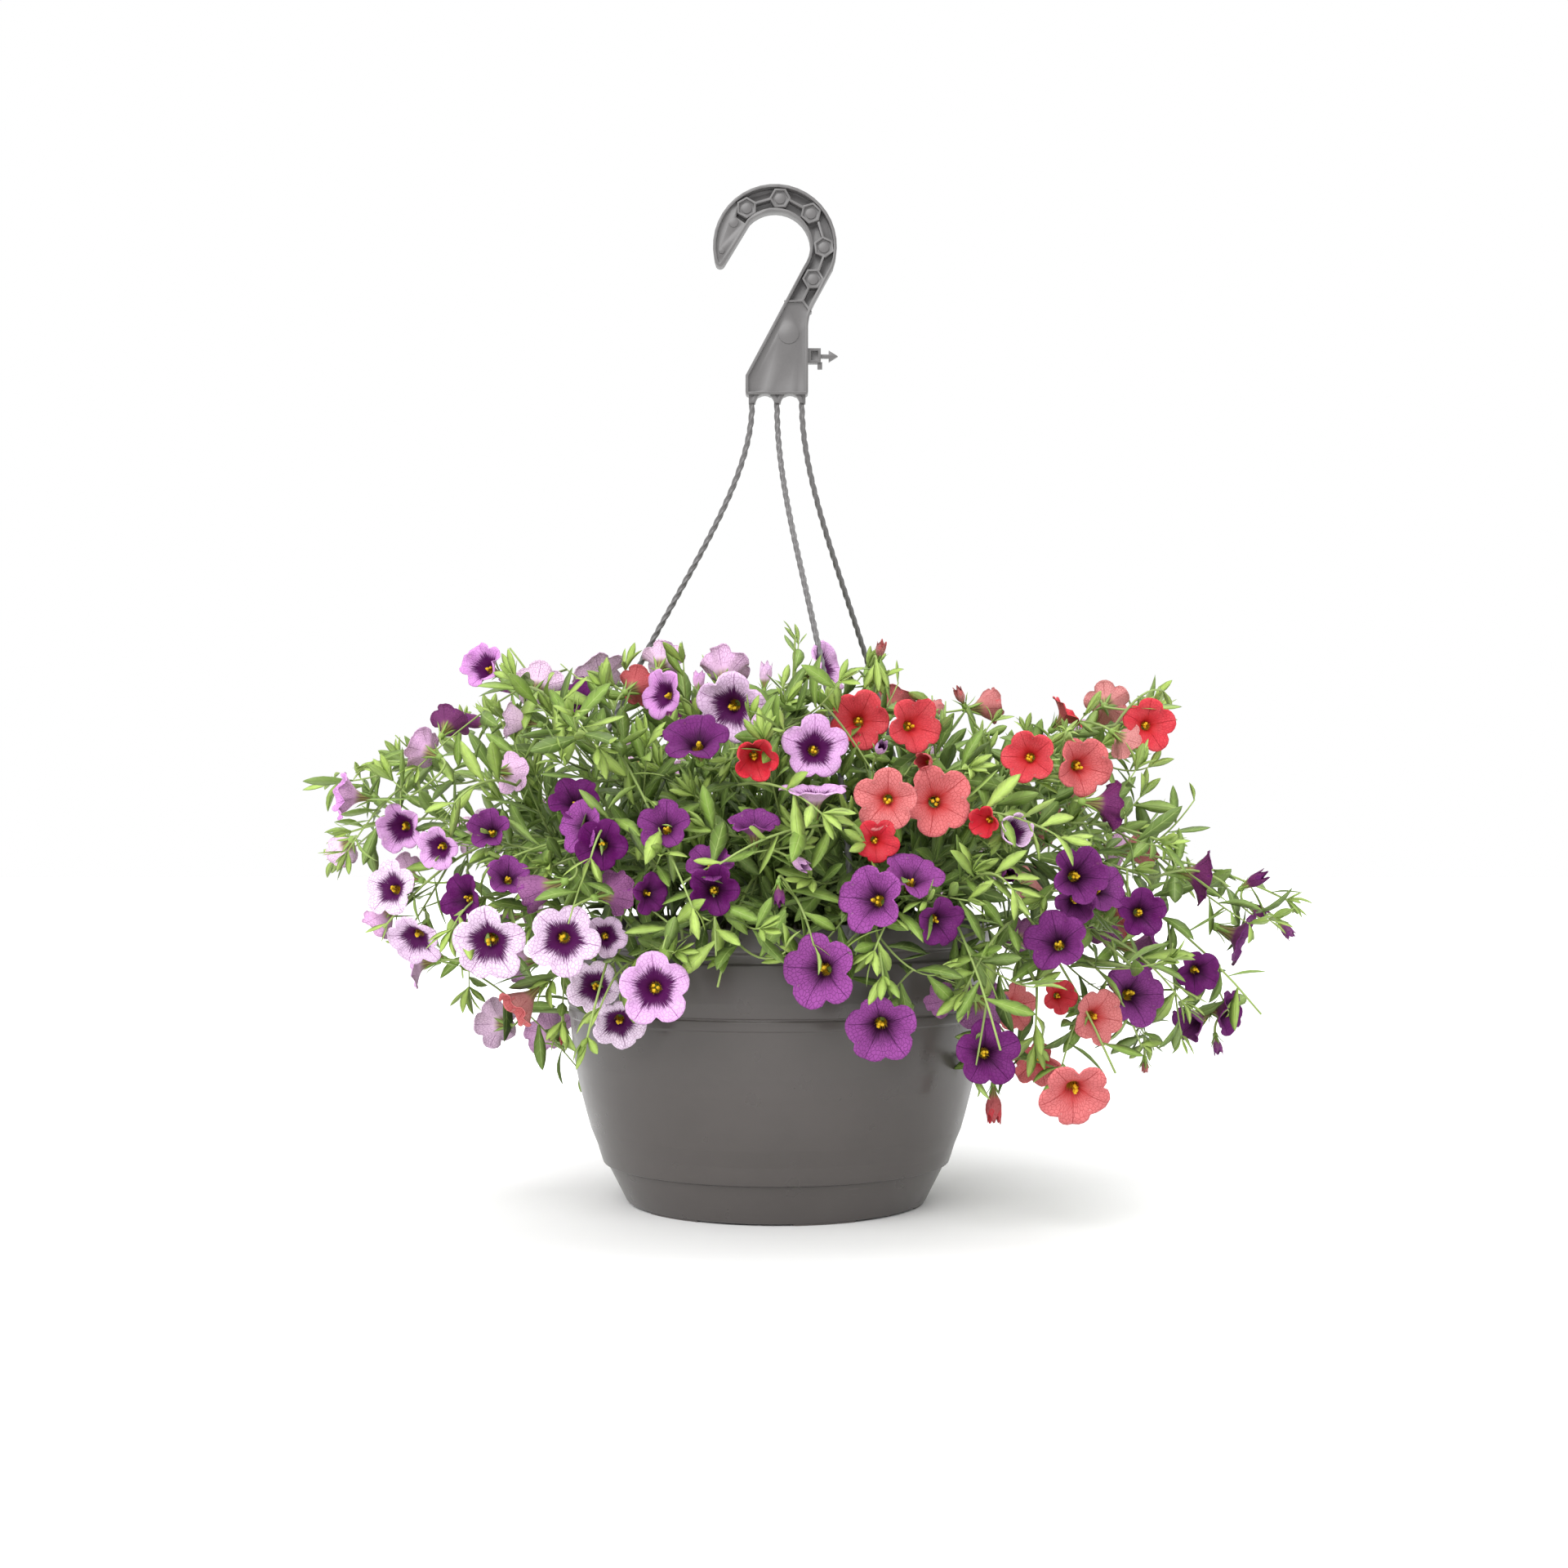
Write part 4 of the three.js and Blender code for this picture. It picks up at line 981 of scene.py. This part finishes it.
def corolla_shape(name, openness, seed, ruffle):
    """A trumpet with five joined lobes, one unit wide, facing +Z: front skin, rim and back skin in one."""
    rng = random.Random(seed)
    segments = 40
    size = [1 + rng.uniform(-0.07, 0.05) for _ in range(5)]
    tip = [rng.uniform(-0.02, 0.035) for _ in range(5)]
    waves = [(k, rng.uniform(-1, 1) * ruffle, rng.uniform(0, FULL_TURN)) for k in (2, 3, 5, 7)]
    shut = 1 - openness
    thick = 0.010

    def spot(radius, depth, angle, lift):
        spread = ease(radius, 0.1, 0.5)
        lobe = int(round(angle / (0.4 * math.pi))) % 5
        valley = 1 - abs(math.cos(2.5 * angle)) ** 0.62
        r = radius * (1 - 0.24 * valley * ease(radius, 0.27, 0.5))
        r *= 1 + (size[lobe] - 1) * spread * (1 - valley)
        z = depth + tip[lobe] * spread * (1 - valley) + 0.042 * valley * spread * ease(radius, 0.15, 0.42)
        z -= 0.026 * (1 - ease(abs(math.sin(2.5 * angle)), 0.0, 0.45)) * spread
        z += sum(height * math.sin(k * angle + phase) for k, height, phase in waves) * spread
        r *= 1 - 0.62 * shut * spread
        z += 0.42 * shut * spread * (1 + 0.25 * math.sin(5 * angle) * shut)
        twist = angle + 1.1 * shut * spread * (1 if shut > 0.6 else 0)
        return Vector((r * math.cos(twist), r * math.sin(twist), z + lift))

    def ring(index, front):
        radius, depth = OPEN_PROFILE[index]
        share = index / (len(OPEN_PROFILE) - 1)
        wide = (radius, depth) if front else (radius + thick * (1 - share), depth)
        lift = 0 if front else -thick * (0.35 + 0.65 * share) * (1 if index < len(OPEN_PROFILE) - 1 else 0.6)
        angles = [2 * math.pi * i / segments for i in range(segments)]
        reach = radius / 0.5
        points = [spot(*wide, a, lift) for a in angles]
        facts = [(reach * math.cos(a), reach * math.sin(a), float(front)) for a in angles]
        return points, facts

    order = [(i, True) for i in range(1, len(OPEN_PROFILE))]
    order += [(i, False) for i in reversed(range(len(OPEN_PROFILE)))]
    rings, plan = zip(*(ring(*step) for step in order))
    foot = Vector((0, 0, -TUBE_SHARE))
    vertices, faces = skin(list(rings), Vector((0, 0, -0.42)), foot)
    facts = [(0, 0, 1), *(fact for ring_facts in plan for fact in ring_facts), (0, 0, 0)]
    if openness > 0.4:
        for k in range(5):
            a = rng.uniform(0, FULL_TURN)
            anther = Vector((0.034 * math.cos(a), 0.034 * math.sin(a), -0.19 + 0.018 * k))
            reach = Vector((rng.uniform(-0.02, 0.02), rng.uniform(-0.02, 0.02), 0.05))
            points = [anther - reach * 3, anther - reach * 0.6, anther, anther + reach * 0.6]
            anther_vertices, anther_faces = swept(points, [0.008, 0.010, 0.030, 0.012], 5)
            faces += [tuple(len(vertices) + i for i in face) for face in anther_faces]
            vertices += anther_vertices
            facts += [(0, 0, 1)] * len(anther_vertices)
    mesh = mesh_from(name, vertices, faces)
    add_attribute(mesh, "plan", facts, "FLOAT_VECTOR")
    return new_object(name, mesh)


def calyx_shape():
    """Five narrow sepals round a small cup, one flower width to the unit, facing +Z from the tube's foot."""
    vertices, faces = skin(
        [[Vector((r * math.cos(a), r * math.sin(a), z)) for a in (k * math.pi / 3 for k in range(6))]
         for r, z in ((0.055, 0.10), (0.075, 0.03), (0.060, -0.04))],
        Vector((0, 0, 0.10)), Vector((0, 0, -0.07)))
    for k in range(5):
        a = 0.4 * math.pi * (k + 0.5)
        out = Vector((math.cos(a), math.sin(a), 0))
        side = Vector((-math.sin(a), math.cos(a), 0))
        rings = []
        for along, width in ((0.0, 0.018), (0.35, 0.030), (0.7, 0.026)):
            middle = out * (0.055 + 0.17 * along ** 1.4) + Vector((0, 0, 0.03 + 0.27 * along))
            edge = side * width
            rings.append([middle - edge, middle + out * 0.012, middle + edge, middle - out * 0.010])
        end = out * 0.24 + Vector((0, 0, 0.31))
        sepal_vertices, sepal_faces = skin(rings, out * 0.045 + Vector((0, 0, 0.02)), end)
        offset = len(vertices)
        vertices += sepal_vertices
        faces += [tuple(offset + i for i in reversed(face)) for face in sepal_faces]
    mesh = mesh_from("calyx_shape", vertices, faces)
    add_attribute(mesh, "plan", [(0.5, 0.4, 0.6)] * len(vertices), "FLOAT_VECTOR")
    return new_object("calyx_shape", mesh)


class Bloom:
    """A flower: the middle of its face, the way it faces, its width, form and tone, and its tube's foot."""

    def __init__(self, variety, centre, axis, width, form, tone):
        self.variety = variety
        self.centre = centre
        self.axis = axis.normalized()
        self.width = width
        self.form = form
        self.tone = tone
        self.heel = centre - self.axis * width * TUBE_SHARE


def carried_blooms():
    """The flowers that have solids of their own: each one's face, axis and width come from its solid."""
    blooms = []
    for name in NODES:
        if not name.startswith("flower_"):
            continue
        points = np.array([tuple(v.co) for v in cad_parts[name].data.vertices])
        middle = points.mean(axis=0)
        values, vectors = np.linalg.eigh(np.cov((points - middle).T))
        odd = 0 if values[1] - values[0] > values[2] - values[1] else 2
        axis = vectors[:, odd]
        depth = (points - middle) @ axis
        radius = np.linalg.norm(points - middle - np.outer(depth, axis), axis=1)
        if depth[radius.argmax()] < 0:
            axis, depth = -axis, -depth
        rim = middle + axis * depth[radius > 0.8 * radius.max()].mean()
        blooms.append(Bloom(name.split("_")[1], Vector(rim), Vector(axis), 2 * radius.max() / 0.94,
                            "open", TONES.get(name, dice.random())))
    return blooms


EYE_AWAY = 1244
EYE_HEIGHT = 221
FRONT_REACH, SIDE_REACH = 188, 315  # how far the plant spreads forward and sideways where it is widest
REAR_TRIES = 70
REAR_ROWS = (110, 150, 185, 215, 245, 275, 305, 328)
SPREAD = [  # the plant's spread by height, as a share of its widest
    (40, 0.55), (100, 0.82), (150, 0.95), (200, 1.0), (250, 0.96), (300, 0.82), (330, 0.66), (365, 0.3),
]


def spread_at(z):
    return float(np.interp(z, *zip(*SPREAD)))


def front_blooms():
    """The blooms of the list, each moved back along the line of sight to its depth in the plant."""
    blooms = []
    for variety, x, z, behind, turn, tilt, width, form, tone in BLOOMS:
        centre = shown_at(x, z, behind)
        nearness = 1 + centre.y / MM / EYE_AWAY
        blooms.append(Bloom(variety, centre, aim(turn, tilt), width * nearness * MM, form, tone))
    return blooms


def rear_blooms():
    """Flowers over the sides and back, by the same spread as the front's."""
    blooms = []
    for k in range(REAR_TRIES):
        turn = 92 + 176 * ((k * 0.618) % 1.0)
        z = dice.choice(REAR_ROWS) + dice.uniform(-14, 14)
        share = spread_at(z) * dice.uniform(0.86, 1.0)
        a = math.radians(turn)
        x, y = 262 * share * math.sin(a), -222 * share * math.cos(a)
        if x < -50:
            variety = "pink" if dice.random() < 0.68 else "violet"
        elif z > 190:
            variety = "coral" if dice.random() < 0.7 else "pink"
        else:
            variety = dice.choice(("violet", "coral", "violet"))
        tilt = dice.uniform(-25, 30) + 40 * ease(z, 270, 340)
        facing = aim(turn + dice.uniform(-35, 35), tilt)
        width = dice.uniform(32, 43) * MM
        form = dice.choice(("open", "open", "open", "open", "half", "shut"))
        if form == "shut":
            width *= 0.55
        centre = at(x, y, z)
        blooms.append(Bloom(variety, centre, facing, width, form, dice.random()))
    return blooms


def apart(bloom, others, share):
    return all((bloom.centre - other.centre).length > share * (bloom.width + other.width) for other in others)


def open_blooms():
    blooms = carried_blooms()
    blooms += [bloom for bloom in front_blooms() if inside_room(bloom.centre)]
    for bloom in rear_blooms():
        if apart(bloom, blooms, 0.38) and inside_room(bloom.centre):
            blooms.append(bloom)
    return blooms


def stalk_for(bloom, stems):
    """The flower's stalk from its nearest stem, and a new side shoot where no stem is near enough."""
    best = None
    for stem in stems:
        if stem.plant != bloom.variety:
            continue
        for share in (0.3, 0.4, 0.5, 0.6, 0.7, 0.8, 0.9):
            gap = (stem.at(share) - bloom.heel).length
            if gap > 13 * MM and (best is None or gap < best[0]):
                best = (gap, stem, share)
    gap, stem, share = best
    foot, extra = stem.at(share), None
    if gap > 34 * MM:
        heel_side = bloom.heel - bloom.axis * 16 * MM - Vector((0, 0, 4 * MM))
        pull = foot.lerp(heel_side, 0.5) + Vector((0, 0, 0.16 * gap))
        beyond = heel_side + (heel_side - foot).normalized() * 12 * MM
        extra = Stem(stem.plant, curve_points(foot, pull, beyond, 8), 0.75 * MM, 0.12)
        foot, gap = extra.at(0.84), (extra.at(0.84) - bloom.heel).length
    return curve_points(foot, bloom.heel - bloom.axis * gap * 0.5, bloom.heel, 7), extra


COROLLAS = [  # name, openness, seed and ruffle of each corolla that is copied
    ("open_0", 1.0, 0, 0.022), ("open_1", 0.93, 1, 0.022 + 0.004), ("open_2", 1.0, 2, 0.022 + 0.008),
    ("open_3", 0.86, 3, 0.022 + 0.012), ("open_4", 0.97, 4, 0.022 + 0.016), ("open_5", 0.78, 5, 0.022 + 0.020),
    ("half_0", 0.62, 11, 0.02), ("half_1", 0.45, 12, 0.03), ("shut_0", 0.12, 21, 0.03), ("shut_1", 0.02, 22, 0.02),
]
KINDS = {"open": (0, 1, 2, 3, 4, 5), "half": (6, 7), "shut": (8, 9)}
PETALS = {  # deep and pale; the eye, its reach, softness and strength; the back deep and pale; veins
    "pink": ((0.59, 0.25, 0.60), (0.76, 0.63, 0.76), (0.062, 0.001, 0.060), 0.57, 0.11, 0.99,
             ((0.66, 0.36, 0.62), (0.82, 0.64, 0.78)), (0.22, 0.03, 0.20)),
    "violet": ((0.080, 0.0006, 0.076), (0.290, 0.066, 0.290), (0.014, 0.0004, 0.012), 0.44, 0.24, 0.94,
               ((0.13, 0.014, 0.095), (0.32, 0.13, 0.29)), (0.032, 0.001, 0.032)),
    "coral": ((0.56, 0.022, 0.040), (0.58, 0.180, 0.180), (0.40, 0.010, 0.010), 0.40, 0.22, 0.85,
              ((0.46, 0.08, 0.09), (0.56, 0.25, 0.24)), (0.30, 0.008, 0.012)),
}


def make_plants():
    stems = grow_stems()
    blooms = open_blooms()
    stalks = {plant: [] for plant in CROWNS}
    for bloom in blooms:
        stalk, extra = stalk_for(bloom, stems)
        stalks[bloom.variety].append(stalk)
        if extra:
            stems.append(extra)
    faces = np.array([(*bloom.centre, *bloom.axis, 0.46 * bloom.width) for bloom in blooms if bloom.form == "open"])
    stem_material, leaf_material = stem_finish(), leaf_finish()
    petals = {variety: petal_finish(variety, *look) for variety, look in PETALS.items()}
    leaves = [leaf_shape("leaf_a", 0.14, 0.22, 0.1), leaf_shape("leaf_b", 0.30, 0.34, -0.25),
              leaf_shape("leaf_c", -0.08, 0.16, 0.2)]
    corollas = [corolla_shape(*facts) for facts in COROLLAS]
    calyx = calyx_shape()
    for plant in CROWNS:
        own_stems = [stem for stem in stems if stem.plant == plant]
        own_blooms = [bloom for bloom in blooms if bloom.variety == plant]
        shoots = [name for name in NODES if name.startswith(f"shoot_{plant}_")]
        flowers = [name for name in NODES if name.startswith(f"flower_{plant}_")]
        settle(stem_mesh(f"stems_{plant}", own_stems, stalks[plant], stem_material), shoots)
        spots = [spot for stem in own_stems for spot in leaf_spots(stem, faces)]
        settle(set_out(f"leaves_{plant}", leaves, spots, leaf_material), [])
        heads, cups = [], []
        for bloom in own_blooms:
            facing = bloom.axis.to_track_quat("Z", "Y").to_matrix()
            turn = facing @ Matrix.Rotation(dice.uniform(0, FULL_TURN), 3, "Z")
            heads.append((bloom.centre, turn, bloom.width, dice.choice(KINDS[bloom.form]), bloom.tone))
            cup = bloom.width if bloom.form != "shut" else max(bloom.width, 24 * MM)
            cups.append((bloom.heel, turn, cup, 0, dice.uniform(0.4, 0.8)))
        settle(set_out(f"corollas_{plant}", corollas, heads, petals[plant]), flowers)
        settle(set_out(f"calyxes_{plant}", [calyx], cups, leaf_material), [])
    for shape in (*leaves, *corollas, calyx):
        bpy.data.objects.remove(shape)


# ---------- camera, floor and light ----------

def make_view():
    data = bpy.data.cameras.new("front_view")
    data.lens, data.sensor_width = 45.0, 36.0
    data.clip_start, data.clip_end = 0.05, 60.0
    camera = new_object("front_view", data)
    camera.location = at(0, -EYE_AWAY, EYE_HEIGHT)
    camera.rotation_euler = (math.radians(90), 0, 0)
    data.shift_x, data.shift_y = 0.005, 0.042
    bpy.context.scene.camera = camera


def make_stage():
    floor_finish = Finish("pale_floor", Roughness=0.7)
    cloud = floor_finish.noise(floor_finish.place(), 3.0)
    pale, paler = (0.86, 0.86, 0.86), (0.87, 0.87, 0.87)
    floor_finish.feed("Base Color", floor_finish.mix(cloud, pale, paler))
    half = 14.0
    corners = [Vector((x, y, BASE_Z)) for x, y in ((-half, -half), (half, -half), (half, half), (-half, half))]
    floor = new_object("floor", mesh_from("floor", corners, [(0, 1, 2, 3)], floor_finish.material))
    world = bpy.data.worlds.new("studio")
    bpy.context.scene.world = world
    world.use_nodes = True
    background = next(node for node in world.node_tree.nodes if node.type == "BACKGROUND")
    background.inputs["Color"].default_value = (1, 1, 1, 1)
    background.inputs["Strength"].default_value = 1.0
    for name, toward, spread, power in (
            ("key_light", (-0.33, -0.86, 0.72), 45, 2.5), ("rear_top_light", (0.15, 0.30, 0.95), 60, 1.3)):
        light = bpy.data.lights.new(name, "SUN")
        light.angle, light.energy = math.radians(spread), power
        lamp = new_object(name, light)
        lamp.location = Vector(toward) * 3
        lamp.rotation_euler = Vector(toward).to_track_quat("Z", "Y").to_euler()
    bpy.context.scene.view_settings.view_transform = "Standard"


def main():
    make_view()
    make_stage()
    pot_plastic = moulded_plastic("pot_plastic", (0.060, 0.053, 0.050), (0.078, 0.069, 0.065), 0.30)
    hanger_plastic = moulded_plastic("hanger_plastic", (0.095, 0.091, 0.091), (0.135, 0.130, 0.130), 0.34)
    mix_material = damp_mix()
    settle(make_pot(pot_plastic), ["pot"])
    settle(make_saucer(pot_plastic), ["saucer"])
    mix = make_mix(mix_material)
    crumbs = make_crumbs(mix_material, mix)
    settle(mix, ["potting_mix"])
    settle(crumbs, [])
    settle(make_hook(hanger_plastic), ["hanger_hook"])
    for name in STRAND_ROOTS:
        settle(make_strand(name, hanger_plastic), [name])
    make_plants()


main()
